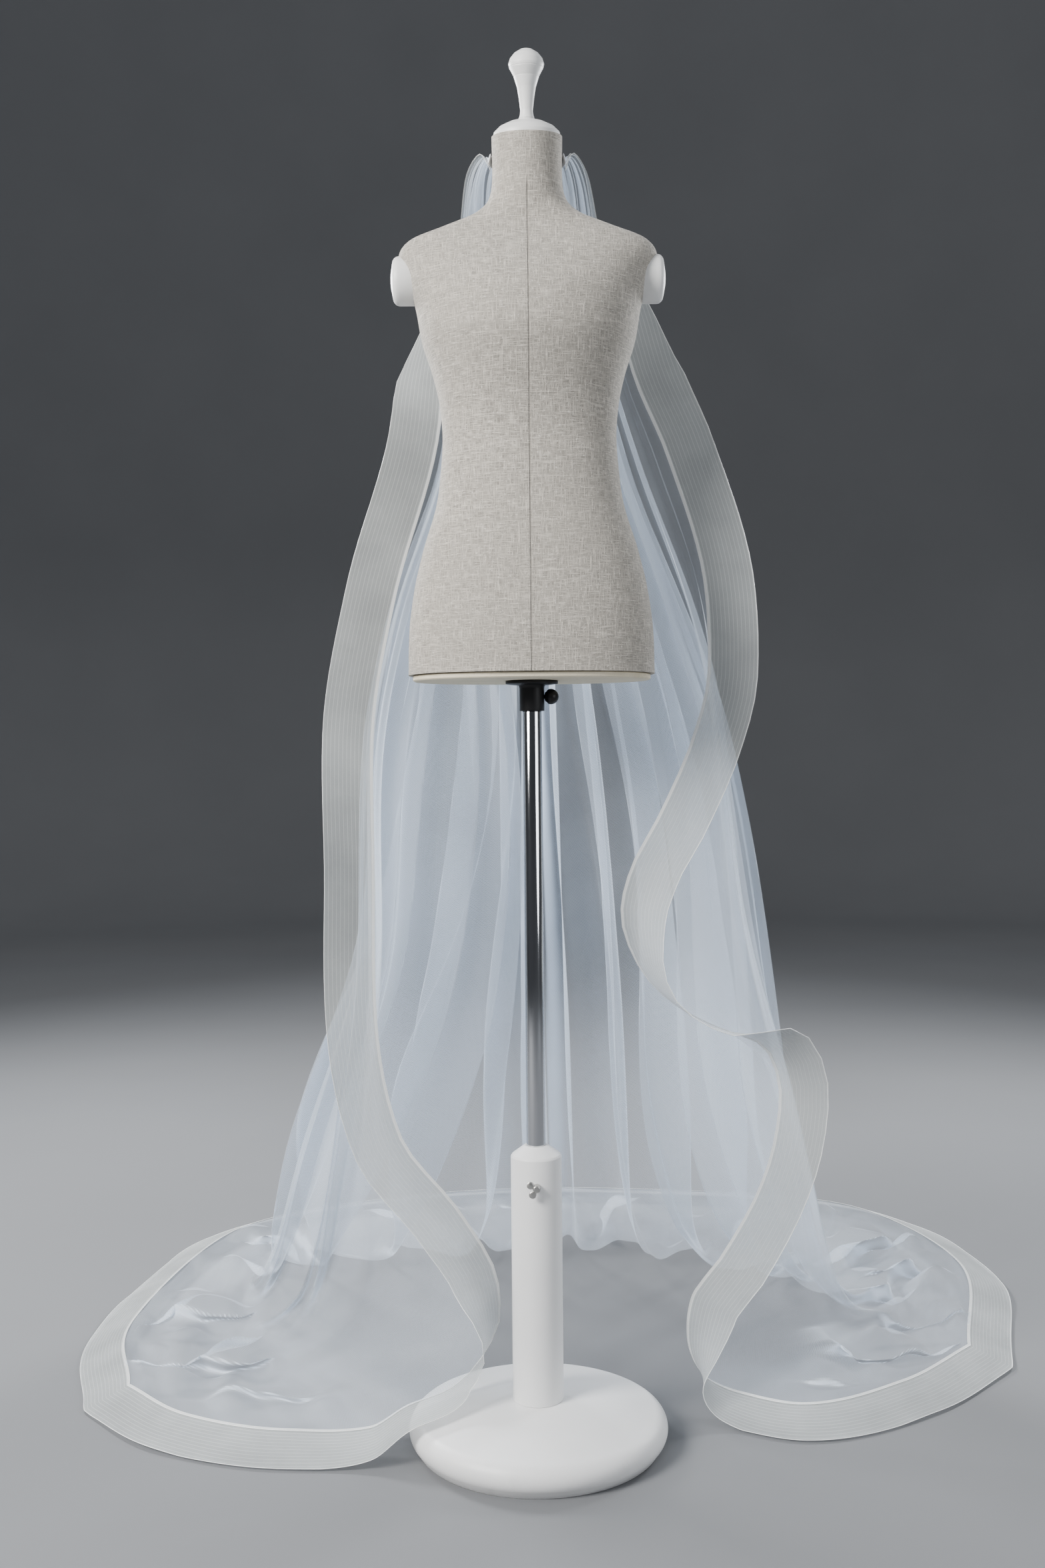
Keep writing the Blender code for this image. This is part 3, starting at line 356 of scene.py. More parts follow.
class Finish:
    """A node material built by expressions: node() adds any node, and the rest are short forms of it."""

    def __init__(self, name, roughness=0.5, metallic=0.0, sheen=0.0, coat=0.0, sheen_roughness=0.4):
        self.material = bpy.data.materials.new(name)
        self.material.use_nodes = True
        self.tree = self.material.node_tree
        self.shader = self.tree.nodes["Principled BSDF"]
        for socket, value in (
            ("Roughness", roughness), ("Metallic", metallic), ("Sheen Weight", sheen),
            ("Coat Weight", coat), ("Sheen Roughness", sheen_roughness),
        ):
            self.shader.inputs[socket].default_value = value

    def node(self, kind, settings=(), sockets=(), output=0):
        made = self.tree.nodes.new("ShaderNode" + kind)
        for key, value in dict(settings).items():
            setattr(made, key, value)
        for key, value in dict(sockets).items():
            if isinstance(value, Val):
                self.tree.links.new(value.socket, made.inputs[key])
            else:
                made.inputs[key].default_value = value
        return Val(self.tree, made.outputs[output])

    def object_place(self):
        return self.node("TexCoord", output=3)

    def uv(self):
        return self.node("UVMap", {"uv_map": "cloth"})

    def axes(self, vector):
        made = self.tree.nodes.new("ShaderNodeSeparateXYZ")
        self.tree.links.new(vector.socket, made.inputs[0])
        return [Val(self.tree, output) for output in made.outputs]

    def noise(self, place, scale, detail=3.0, rough=0.5, stretch=None):
        if stretch is not None:
            place = self.node("Mapping", sockets={"Vector": place, "Scale": stretch})
        return self.node(
            "TexNoise", sockets={"Vector": place, "Scale": scale, "Detail": detail, "Roughness": rough}
        )

    def blend(self, factor, first, second):
        made = self.tree.nodes.new("ShaderNodeMix")
        made.data_type = "RGBA"
        for index, value in ((0, factor), (6, first), (7, second)):
            if isinstance(value, Val):
                self.tree.links.new(value.socket, made.inputs[index])
            elif index:
                made.inputs[index].default_value = (*value, 1.0)
            else:
                made.inputs[index].default_value = value
        return Val(self.tree, made.outputs[2])

    def between(self, value, first, second, low=0.35, high=0.65):
        return self.blend(self.steps(value, low, high), first, second)

    def steps(self, value, low, high, out_low=0.0, out_high=1.0):
        return self.node("MapRange", {"clamp": True}, {
            "Value": value, "From Min": low, "From Max": high, "To Min": out_low, "To Max": out_high})

    def set(self, **sockets):
        for key, value in sockets.items():
            name = key.replace("_", " ")
            if isinstance(value, Val):
                self.tree.links.new(value.socket, self.shader.inputs[name])
            elif name.endswith(" Color"):
                self.shader.inputs[name].default_value = (*value, 1.0)
            else:
                self.shader.inputs[name].default_value = value
        return self.material

    def bump(self, height, strength, distance):
        made = self.node("Bump", sockets={"Height": height, "Strength": strength, "Distance": distance})
        self.tree.links.new(made.socket, self.shader.inputs["Normal"])


def smooth_through(knots, values, at):
    """A smooth cubic curve through rows of values at rising knots, read at other places."""
    knots = np.asarray(knots, float)
    values = np.asarray(values, float)
    steps = np.diff(knots)
    slopes = np.diff(values, axis=0) / steps[:, None]
    tangents = np.empty_like(values)
    tangents[0] = slopes[0]
    tangents[-1] = slopes[-1]
    same_way = slopes[:-1] * slopes[1:] > 0
    total = np.where(same_way, slopes[:-1] + slopes[1:], 1.0)
    tangents[1:-1] = np.where(same_way, 2.0 * slopes[:-1] * slopes[1:] / total, 0.0)
    tangents[1:-1] = 0.5 * tangents[1:-1] + 0.25 * (slopes[:-1] + slopes[1:])
    place = np.clip(np.searchsorted(knots, at, side="right") - 1, 0, len(steps) - 1)
    t = ((at - knots[place]) / steps[place])[:, None]
    h = steps[place][:, None]
    start, end = values[place], values[place + 1]
    return (
        (2 * t**3 - 3 * t**2 + 1) * start + (t**3 - 2 * t**2 + t) * h * tangents[place]
        + (-2 * t**3 + 3 * t**2) * end + (t**3 - t**2) * h * tangents[place + 1]
    )


def unit(vectors):
    """Vectors at unit length."""
    return vectors / np.maximum(np.linalg.norm(vectors, axis=-1, keepdims=True), 1e-12)


def column(rows, first, last=None):
    """Columns of a table as an array."""
    return np.array([row[first:last or first + 1] for row in rows], float)


def mesh_object(name, points, faces, finish, body=ROOT, uv=None, smooth=True, angle=None):
    """A mesh object at the origin from arrays of points and of faces, with an optional UV at each point."""
    mesh = bpy.data.meshes.new(name)
    points = np.ascontiguousarray(points, dtype=np.float32)
    sizes = np.array([len(face) for face in faces], dtype=np.int32) if isinstance(faces, list) else None
    if sizes is None:
        sizes = np.full(len(faces), faces.shape[1], dtype=np.int32)
        loops = np.ascontiguousarray(faces, dtype=np.int32).ravel()
    else:
        loops = np.concatenate([np.asarray(face, dtype=np.int32) for face in faces])
    mesh.vertices.add(len(points))
    mesh.vertices.foreach_set("co", points.ravel())
    mesh.loops.add(len(loops))
    mesh.loops.foreach_set("vertex_index", loops)
    mesh.polygons.add(len(sizes))
    mesh.polygons.foreach_set("loop_start", np.concatenate([[0], np.cumsum(sizes)[:-1]]).astype(np.int32))
    mesh.update(calc_edges=True)
    mesh.validate()
    if uv is not None:
        layer = mesh.uv_layers.new(name="cloth")
        layer.data.foreach_set("uv", np.ascontiguousarray(uv[loops], dtype=np.float32).ravel())
    if smooth:
        mesh.shade_smooth()
        if angle is not None:
            mesh.set_sharp_from_angle(angle=math.radians(angle))
    made = bpy.data.objects.new(name, mesh)
    made.data.materials.append(finish)
    bpy.context.scene.collection.objects.link(made)
    if body:
        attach(made, body)
    return made


def grid_faces(rows, columns, wrap=False):
    """Quads over a grid of points; wrap joins the last column to the first."""
    index = np.arange(rows * columns).reshape(rows, columns)
    right = np.roll(index, -1, axis=1)
    a, b = index[:-1], right[:-1]
    c, d = right[1:], index[1:]
    quads = np.stack([a, d, c, b], axis=-1)
    if not wrap:
        quads = quads[:, :-1]
    return quads.reshape(-1, 4)


def closed_faces(rows, columns):
    """Faces of a stack of rings: the wall between them and the two ends that close it."""
    last = (rows - 1) * columns
    ends = [tuple(range(columns)), tuple(range(last + columns - 1, last - 1, -1))]
    return [tuple(face) for face in grid_faces(rows, columns, wrap=True)] + ends


def weld(made):
    """Join a mesh's coincident points, as at a seam where its UV map is cut."""
    mesh = bmesh.new()
    mesh.from_mesh(made.data)
    bmesh.ops.remove_doubles(mesh, verts=mesh.verts, dist=1e-6)
    mesh.to_mesh(made.data)
    mesh.free()


def turned(name, profile, finish, steps=96, place=(0, 0, 0), turn=None, body=ROOT, angle=50, corner=0.0006):
    """A turned piece: a profile of (radius, height), top to bottom on its outer side, swept round Z.

    Each inner corner of the profile is softened by a short arc of the given size, and the ends on the
    axis close in a pole. A profile with no end on the axis is closed into a ring, with a bore. turn is
    a set of Euler angles.
    """
    soft = [profile[0]]
    for before, here, after in zip(profile[:-2], profile[1:-1], profile[2:]):
        here = np.array(here, float)
        to_before = np.array(before, float) - here
        to_after = np.array(after, float) - here
        reach = min(corner, 0.4 * np.linalg.norm(to_before), 0.4 * np.linalg.norm(to_after))
        start = here + to_before / np.linalg.norm(to_before) * reach
        end = here + to_after / np.linalg.norm(to_after) * reach
        for t in (0.0, 0.5, 1.0):
            soft.append(tuple((1 - t) ** 2 * start + 2 * t * (1 - t) * here + t**2 * end))
    soft.append(profile[-1])
    soft = np.array(soft, float)
    spin = np.linspace(0, 2 * math.pi, steps, endpoint=False)
    top_pole, bottom_pole = soft[0, 0] == 0.0, soft[-1, 0] == 0.0
    ring = soft[(1 if top_pole else 0):(-1 if bottom_pole else None)]
    points = np.stack([
        ring[:, :1] * np.cos(spin), ring[:, :1] * np.sin(spin), np.repeat(ring[:, 1:], steps, axis=1)
    ], axis=-1).reshape(-1, 3)
    faces = [tuple(face) for face in grid_faces(len(ring), steps, wrap=True)]
    around = np.arange(steps)
    ahead = (around + 1) % steps
    if top_pole:
        points = np.concatenate([points, [[0, 0, soft[0, 1]]]])
        pole = len(points) - 1
        faces += [(pole, i, j) for i, j in zip(around, ahead)]
    if bottom_pole:
        points = np.concatenate([points, [[0, 0, soft[-1, 1]]]])
        pole = len(points) - 1
        low = (len(ring) - 1) * steps
        faces += [(pole, low + j, low + i) for i, j in zip(around, ahead)]
    if not (top_pole or bottom_pole):
        low = (len(ring) - 1) * steps
        faces += [(low + i, i, j, low + j) for i, j in zip(around, ahead)]
    if turn is not None:
        matrix = np.array(Euler(turn).to_matrix())
        points = points @ matrix.T
    return mesh_object(name, points + np.array(place), faces, finish, body, angle=angle)


def arc(centre_r, centre_z, radius, start, stop, count):
    """Points of a round stretch of a profile, angles in degrees from +r towards +z."""
    angles = np.radians(np.linspace(start, stop, count))
    return [(centre_r + radius * math.cos(a), centre_z + radius * math.sin(a)) for a in angles]


def turned_piece(name, profile, finish, node, slot, **how):
    """A turned piece in place of one solid."""
    made = turned(name, profile, finish, **how)
    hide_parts(node)


def mean_sheet(down, across):
    """The sheet without its folds: points at each share down and across, through the laid lines."""
    shares = [0.0] + [line[0] for line in INNER_LINES] + [1.0]
    tables = [LEFT_SEAM] + [line[1] for line in INNER_LINES] + [RIGHT_SEAM]
    lines = [smooth_through(column(rows, 0)[:, 0], column(rows, 1, 4), down) for rows in tables]
    stacked = np.stack(lines, axis=0)
    flat = smooth_through(shares, stacked.reshape(len(shares), -1), across)
    return flat.reshape(len(across), len(down), 3).transpose(1, 0, 2)


def sheet_normals(points):
    """Unit normals of a grid of points, outwards from the form and up on the floor."""
    return unit(np.cross(np.gradient(points, axis=0), np.gradient(points, axis=1)))


def flap_lift(plan, keep):
    """Height and sideways slide of the trains' flaps at places in plan; keep fades them at the edges."""
    height = np.zeros(plan.shape[:2])
    slide = np.zeros(plan.shape)
    for x0, y0, x1, y1, half_width, rise, lie in FLAPS:
        start = np.array([x0, y0])
        way = np.array([x1, y1]) - start
        share = ((plan - start) @ way) / (way @ way)
        away = np.linalg.norm(plan - start - np.clip(share, 0, 1)[..., None] * way, axis=-1)
        swell = np.sin(math.pi * np.clip(share, 0.0, 1.0) ** FLAP_TAPER) ** 1.2
        bump = rise * keep * swell * np.exp(-((away / half_width) ** 2))
        height += bump
        right = np.array([way[1], -way[0]]) / np.linalg.norm(way)
        slide += (lie * bump)[..., None] * right
    return height, slide


def billows(x, y):
    """Air under the trains: slow swells up to 15 mm high."""
    swell = np.sin(31.0 * x + 17.0 * y + 1.0) * np.sin(19.0 * y - 13.0 * x)
    swell += 0.6 * np.sin(54.0 * x - 23.0 * y) * np.sin(37.0 * y + 29.0 * x + 2.0)
    return 0.011 * np.clip(swell, -0.4, 1.4)


def folded_sheet(look):
    """The tulle: the mean sheet moved along its normal by a wave whose folds lie over to one side.

    The wave has the solids' main folds and finer gathers between them. Each point also slides across
    the cloth in step with its depth, so the folds lie over each other and never cross. Returns the
    shares down and across, the points, their UVs and how far the net is seen edge-on at each.
    """
    dense = 2000
    filled, places = column(ROW_PLACES, 0)[:, 0], column(ROW_PLACES, 1)[:, 0]
    down = np.interp(np.linspace(0.0, 1.0, look.rows), filled, places)
    across = np.linspace(0.0, 1.0, look.columns)
    v, u = down[:, None], across[None, :]
    drift = sum(size * np.sin(2 * math.pi * (over * u + fall * v)) for size, over, fall in FOLD_DRIFTS)
    phase = 2 * math.pi * (look.folds * u + drift)
    depth = smooth_through(column(FOLD_DEPTHS, 0)[:, 0], column(FOLD_DEPTHS, 1), down)
    from_edge = np.minimum(u, 1 - u)
    calm = np.clip(from_edge / EDGE_CALM, 0, 1) ** 1.5
    uneven = 1.0 + 0.30 * np.sin(2 * math.pi * (3.1 * u + 0.2)) * np.cos(2 * math.pi * (0.5 * v + 2.3 * u))
    slant = 1.5 * (v - 0.35) * np.sin(2 * math.pi * (1.4 * u + 0.1)) + 0.20 * np.sin(2 * math.pi * 1.3 * v)
    fine = 2 * math.pi * (look.folds * GATHERS_TO_A_FOLD * u + 0.7 * drift + slant)
    gathers = np.clip(0.60 - 0.75 * v, 0.16, 0.55)
    offset = depth * calm * (np.sin(phase) * uneven + gathers * np.sin(fine))
    hang = np.clip((HANG_ENDS - v) / HANG_FADE, 0, 1)
    flutter = 0.006 * np.sin(2 * math.pi * (2.1 * v + 1.2 * u)) * np.clip(v / 0.2, 0, 1) * hang
    offset = offset + flutter * np.clip(from_edge / 0.05, 0, 1)

    mean = mean_sheet(down, np.linspace(0.0, 1.0, dense))
    normals = sheet_normals(mean)
    width = np.linalg.norm(np.diff(mean, axis=1), axis=-1).sum(axis=1)[:, None]
    lean = smooth_through(column(FOLD_LEANS, 0)[:, 0], column(FOLD_LEANS, 1), across)[:, 0]
    lean = lean * calm * (0.35 + 0.65 * hang) * np.clip(0.3 + v / 0.1, 0, 1) * look.fold_lean
    place = np.clip(u + lean * offset / width, 0.0, 1.0) * (dense - 1)
    low = np.clip(np.floor(place).astype(int), 0, dense - 2)
    share = (place - low)[..., None]
    row = np.arange(look.rows)[:, None]
    base = mean[row, low] * (1 - share) + mean[row, low + 1] * share
    normal = unit(normals[row, low] * (1 - share) + normals[row, low + 1] * share)
    points = base + normal * offset[..., None]
    keep = np.clip((v - TRAIN_STARTS) / 0.05, 0, 1)
    keep = keep * np.clip((1 - v) / 0.03, 0, 1) * np.clip(from_edge / 0.03, 0, 1)
    height, slide = flap_lift(base[..., :2], keep)
    points[..., 2] += height + keep * billows(base[..., 0], base[..., 1])
    points[..., :2] += slide
    points[..., 2] = np.maximum(points[..., 2], FLOOR_CLEARANCE)
    facing = np.abs(np.sum(sheet_normals(points) * normal, axis=-1))
    edge_on = 1.0 / np.maximum(facing, LEAST_FACING)
    uv = np.stack(np.broadcast_arrays(u * look.cut_width, v * look.cut_length), axis=-1)
    return down, across, points, uv, edge_on


def round_the_edge(grid):
    """A grid's values down its left side, along its hem and up its right side."""
    return np.concatenate([grid[:, 0], grid[-1, 1:-1], grid[::-1, -1]])


def braid_ways(down, across, points, width):
    """Round the sheet: the seam, the braid's way out square to it, and its width at each point."""
    left = smooth_through(column(LEFT_SEAM, 0)[:, 0], column(LEFT_SEAM, 4, 6), down)
    right = smooth_through(column(RIGHT_SEAM, 0)[:, 0], column(RIGHT_SEAM, 4, 6), down)
    bearing = smooth_through(column(HEM_BEARINGS, 0)[:, 0], column(HEM_BEARINGS, 1), across)
    hem = np.concatenate([bearing, np.full_like(bearing, HEM_DIP)], axis=1)[1:-1]
    turn, dip = np.radians(np.concatenate([left, hem, right[::-1]])).T
    seam = round_the_edge(points)
    steps = unit(np.diff(seam, axis=0))
    tangent = np.concatenate([steps[:1], steps[:-1] + steps[1:], steps[-1:]])
    window = 15
    half = window // 2
    kernel = np.hanning(window) / np.hanning(window).sum()
    padded = np.concatenate([np.repeat(tangent[:1], half, 0), tangent, np.repeat(tangent[-1:], half, 0)])
    tangent = unit(sum(padded[i:i + len(tangent)] * kernel[i] for i in range(window)))
    way = np.stack([np.cos(turn) * np.cos(dip), np.sin(turn) * np.cos(dip), np.sin(dip)], axis=1)
    way = unit(way - np.sum(way * tangent, axis=1, keepdims=True) * tangent)
    grown = np.interp(down, (0.0, BRAID_FULL_WIDTH_AT), (BRAID_GATHERED_SHARE, 1.0)) * width
    widths = np.concatenate([grown, np.full(len(across) - 2, width), grown[::-1]])
    return seam, tangent, way, widths


def tube(path, radius, sides=6):
    """A round cord along a path: rings square to it, set by one guide direction, closed at both ends."""
    tangent = unit(np.gradient(path, axis=0))
    guide = np.array([0.23, 0.31, 0.92])
    side = unit(np.cross(tangent, guide))
    other = np.cross(side, tangent)
    spin = np.linspace(0, 2 * math.pi, sides, endpoint=False)
    out = side[:, None] * np.cos(spin)[:, None] + other[:, None] * np.sin(spin)[:, None]
    rings = path[:, None] + radius * out
    return rings.reshape(-1, 3), closed_faces(len(path), sides)


def form_surface(rows=230, columns=192):
    """The torso and neck: ellipses through the form's sections, a little squared below the neck."""
    table = column(FORM_SECTIONS, 0, 5)
    heights = np.linspace(table[-1, 0], table[0, 0], rows)
    half, front, back, lean = smooth_through(table[:, 0], table[:, 1:], heights).T[:, :, None]
    angle = np.linspace(math.pi / 2, 2.5 * math.pi, columns)[None, :]
    square = np.interp(heights, (1.69, 1.75), (2.0 / 2.25, 1.0))[:, None]
    across = np.sign(np.cos(angle)) * np.abs(np.cos(angle)) ** square * half
    reach = np.where(np.sin(angle) < 0, front, back)
    along = np.sign(np.sin(angle)) * np.abs(np.sin(angle)) ** square * reach
    slope = np.interp(heights, (1.775, NECK_TOP), (0.0, math.tan(math.radians(NECK_SLOPE))))[:, None]
    points = np.stack([across, along - lean, heights[:, None] + along * slope], axis=-1)
    girth = np.cumsum(np.linalg.norm(np.diff(points, axis=1, prepend=points[:, :1]), axis=-1), axis=1)
    girth -= girth[:, -1:] / 2
    uv = np.stack([girth, np.broadcast_to(heights[:, None], girth.shape)], axis=-1)
    return points, uv


def tulle_finish(look):
    """Sheer net: a fine honeycomb of threads that lets most of the light past, with a soft sheen and a faint
    painted glow.
    """
    finish = Finish("tulle_net", roughness=0.62, sheen=0.35, sheen_roughness=0.35)
    place = finish.uv()
    x, y, _ = finish.axes(place)
    turn = 2 * math.pi / look.net_cell
    threads = (x * turn).sin() * (y * (turn * 0.577)).sin()
    threads = threads + (x * (turn * 0.5) + y * (turn * 0.9)).sin() * 0.5
    net = finish.steps(threads, -0.6, 0.9, 0.72, 1.28)
    cloud = finish.steps(finish.noise(place, 5.0, 3.0), 0.35, 0.65, 0.88, 1.12)
    tint = finish.between(finish.noise(place, 3.0, 2.0), look.tulle_colour, shade(look.tulle_colour, 1.04))
    # Painted glow: a faint pale blue emission lifts the whole net, standing in for light that passes through
    # it and lights the undersides of its folds.
    finish.set(Emission_Color=(0.78, 0.87, 1.0))
    finish.shader.inputs["Emission Strength"].default_value = 0.05
    seen = finish.node("Attribute", {"attribute_name": "edge_on"}, output=2)
    clear = 1.0 - (net * cloud * look.tulle_cover).least(0.9)
    return finish.set(Base_Color=tint, Alpha=1.0 - clear ** seen)


def braid_finish(look):
    """Horsehair braid: crossed diagonal hairs, thicker lengthwise threads and bound edges."""
    finish = Finish("horsehair_braid", roughness=0.52, sheen=0.3)
    along, across, _ = finish.axes(finish.uv())
    hair = 2 * math.pi / look.hair_pitch
    one = abs((along * hair + across * hair).sin())
    two = abs((along * hair - across * hair).sin())
    mesh = finish.steps(one.greatest(two), 0.55, 1.0, 0.55, 1.25)
    pitch = look.braid_width / BRAID_THREADS
    thread = abs((across * (math.pi / pitch)).sin())
    lines = finish.steps(thread, 0.0, 0.30, 1.0, 0.0)
    width = look.braid_width
    border = finish.steps(abs(across - width / 2), width * 0.475, width * 0.495)
    cloud = finish.steps(finish.noise(finish.uv(), 9.0, 3.0), 0.3, 0.7, 0.86, 1.14)
    cover = mesh * cloud * look.braid_cover + lines * 0.15 + border * 0.24
    pale = (lines * 0.45 + border * 0.8).least(1.0)
    colour = finish.blend(pale, look.braid_colour, (0.92, 0.93, 0.92))
    finish.bump(one + two + lines, 0.5, 0.0004)
    return finish.set(Base_Color=colour, Alpha=cover.least(0.97))


def linen_finish(look):
    """Greige linen: crossed slubby threads, paler slubs, and stitched seams down its middle and its sides."""
    linen = look.linen_colour
    finish = Finish("linen", roughness=0.88, sheen=0.18, sheen_roughness=0.6)
    place = finish.uv()
    object_x, object_y, object_z = finish.axes(finish.object_place())
    warp = finish.noise(place, 620.0, 2.0, 0.6, stretch=(1.0, 0.10, 1.0))
    weft = finish.noise(place, 620.0, 2.0, 0.6, stretch=(0.10, 1.0, 1.0))
    slub_across = finish.steps(finish.noise(place, 150.0, 2.0, 0.55, stretch=(0.16, 1.0, 1.0)), 0.58, 0.72)
    slub_down = finish.steps(finish.noise(place, 150.0, 2.0, 0.55, stretch=(1.0, 0.16, 1.0)), 0.60, 0.74)
    flecks = finish.steps(finish.noise(place, 330.0, 1.0), 0.62, 0.72)
    cloud = finish.noise(place, 6.0, 4.0)
    thread = finish.steps(warp.greatest(weft), 0.42, 0.70)
    colour = finish.blend(thread, shade(linen, 0.62), shade(linen, 1.38))
    colour = finish.blend(finish.steps(cloud, 0.3, 0.7, 0.0, 0.35), colour, shade(linen, 0.9))
    colour = finish.blend(slub_across.greatest(slub_down) * 0.38, colour, shade(linen, 1.6))
    colour = finish.blend(flecks * 0.5, colour, (0.80, 0.77, 0.71))
    centre = finish.steps(abs(object_x), 0.0006, 0.0015, 1.0, 0.0)
    side = finish.steps(abs(object_y + 0.001), 0.0006, 0.0014, 1.0, 0.0)
    below_neck = finish.steps(object_z, 1.752, 1.768, 1.0, 0.0)
    seam = centre.greatest(side) * below_neck
    off_stitch = abs(abs(object_x) - 0.004).above(0.0005)
    dashes = (object_z * (2 * math.pi / STITCH_PITCH)).sin().above(-0.35)
    stitches = (1.0 - off_stitch) * below_neck * dashes
    colour = finish.blend((seam * 0.42).greatest(stitches * 0.22), colour, shade(linen, 0.45))
    finish.bump(thread * 0.6 + slub_across * 0.8 + slub_down * 0.8 - seam * 2.2, 0.8, 0.0006)
    return finish.set(Base_Color=colour)


def painted_finish(name, colour, roughness, speckle=0.03, grain=380.0, bump=0.0001, wear_below=None):
    """Satin paint or moulding: faint orange peel, soft smudges and slight dulling."""
    finish = Finish(name, roughness=roughness)
    place = finish.object_place()
    smudge = finish.noise(place, 14.0, 4.0)
    colour_now = finish.between(smudge, colour, shade(colour, 1.0 - speckle), 0.35, 0.70)
    if wear_below is not None:
        _, _, height = finish.axes(place)
        scuff = finish.steps(finish.noise(place, 46.0, 4.0), 0.55, 0.75)
        scuff = scuff * finish.steps(height, wear_below, 0.0)
        colour_now = finish.blend(scuff * 0.35, colour_now, shade(colour, 0.72))
    finish.bump(finish.noise(place, grain, 2.0), 0.25, bump)
    finish.set(Roughness=finish.steps(smudge, 0.3, 0.7, roughness - 0.05, roughness + 0.07))
    return finish.set(Base_Color=colour_now)


def metal_finish(name, colour, roughness, brushed=0.0):
    """Bare metal with faint wiping marks along its length."""
    finish = Finish(name, roughness=roughness, metallic=1.0)
    place = finish.object_place()
    marks = finish.noise(place, 90.0, 3.0, 0.6, stretch=(1.0, 1.0, 0.06))
    finish.set(Roughness=finish.steps(marks, 0.3, 0.7, roughness, roughness + 0.06 + brushed))
    tone = finish.between(marks, colour, shade(colour, 0.9), 0.3, 0.7)
    if brushed:
        finish.bump(marks, 0.3, 0.0001)
    return finish.set(Base_Color=tone)


def length(name, description, default):
    """A setting that is a length."""
    return FloatProperty(name=name, description=description, default=default, unit="LENGTH")


def share_of(name, description, default):
    """A setting that is a share, from none to all."""
    return FloatProperty(name=name, description=description, default=default, subtype="FACTOR", min=0, max=1)


def colour(name, description, default):
    """A setting that is a colour."""
    return FloatVectorProperty(name=name, description=description, default=default, subtype="COLOR", size=3)


class VEIL_PG_look(bpy.types.PropertyGroup):
    """The sizes and colours of the veil and its form."""

    folds: IntProperty(name="Folds", description="Main folds across the cloth", default=18, min=6, max=40)
    rows: IntProperty(name="Rows", description="Rows of points down the cloth", default=182, min=40, max=260)
    columns: IntProperty(name="Columns", description="Points across the cloth", default=545, min=80, max=600)
    fold_lean: FloatProperty(name="Fold lean", description="How far folds lie over, as a factor", default=1.0)
    cut_width: length("Cut width", "Width of the flat tulle", 3.2)
    cut_length: length("Cut length", "Length of the flat tulle", 2.45)
    cut_area: FloatProperty(
        name="Cut area", description="Area of the cut, which narrows to the gather", default=5.9, unit="AREA"
    )
    braid_width: length("Braid width", "Width of the braid", 0.070)
    net_cell: length("Net cell", "Pitch of the tulle's net", 0.0016)
    hair_pitch: length("Hair pitch", "Pitch of the braid's hairs", 0.0024)
    tulle_cover: share_of("Tulle cover", "Share of light one layer stops", 0.26)
    braid_cover: share_of("Braid cover", "Share of light the braid stops", 0.62)
    tulle_colour: colour("Tulle", "Colour of the tulle", (0.80, 0.87, 0.96))
    braid_colour: colour("Braid", "Colour of the braid", (0.60, 0.63, 0.635))
    linen_colour: colour("Linen", "Colour of the linen", (0.46, 0.43, 0.385))
    white_colour: colour("White", "Colour of the stand's paint", (0.86, 0.86, 0.86))
    floor_colour: colour("Floor", "Colour of the studio floor", (0.225, 0.23, 0.24))


class VEIL_OT_tulle(bpy.types.Operator):
    """Make the tulle sheet and the band that gathers it"""

    bl_idname = "veil.tulle"
    bl_label = "Tulle"

    def execute(self, context):
        look = context.scene.veil_look
        _, _, points, uv, edge_on = folded_sheet(look)
        faces = grid_faces(look.rows, look.columns)
        sheet = mesh_object(
            "tulle_sheet", points.reshape(-1, 3), faces, tulle_finish(look), uv=uv.reshape(-1, 2)
        )
        seen = sheet.data.attributes.new("edge_on", "FLOAT", "POINT")
        seen.data.foreach_set("value", np.ascontiguousarray(edge_on, dtype=np.float32).ravel())
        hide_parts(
            "tulle_left_fall", "tulle_back_fall", "tulle_right_fall", "tulle_left_train",
            "tulle_back_train", "tulle_right_train"
        )
        self.gather_band()
        return {"FINISHED"}

    def gather_band(self):
        """A folded ribbon bent round the back of the neck, pulled into small even gathers."""
        top, drop = 1.8150, 0.0135
        middle, half_height, half_thick = 1.80825, 0.00655, 0.0010
        neck_radius, flare, forward = 0.0512, 0.0033, 0.0085
        angle = np.radians(np.linspace(4, 176, 260))
        loop = np.linspace(0, 2 * math.pi, 20, endpoint=False)
        pleat = 0.00035 * np.sin(angle * 95)[:, None]
        height = middle + (half_height + pleat) * np.sin(loop)
        low_share = (top - height) / drop
        radius = neck_radius + flare * low_share + (half_thick + pleat) * np.cos(loop)
        points = np.stack([
            radius * np.cos(angle)[:, None], radius * np.sin(angle)[:, None] - forward,
            np.broadcast_to(height, radius.shape)
        ], axis=-1)
        finish = Finish("satin_ribbon", roughness=0.42, sheen=0.3)
        weave = finish.noise(finish.object_place(), 900.0, 2.0)
        finish.bump(weave, 0.3, 0.0002)
        finish.set(Base_Color=finish.between(weave, (0.80, 0.83, 0.88), (0.88, 0.90, 0.93)))
        faces = closed_faces(len(angle), len(loop))
        band = mesh_object("gather_ribbon", points.reshape(-1, 3), faces, finish.material)
        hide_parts("gather_band")


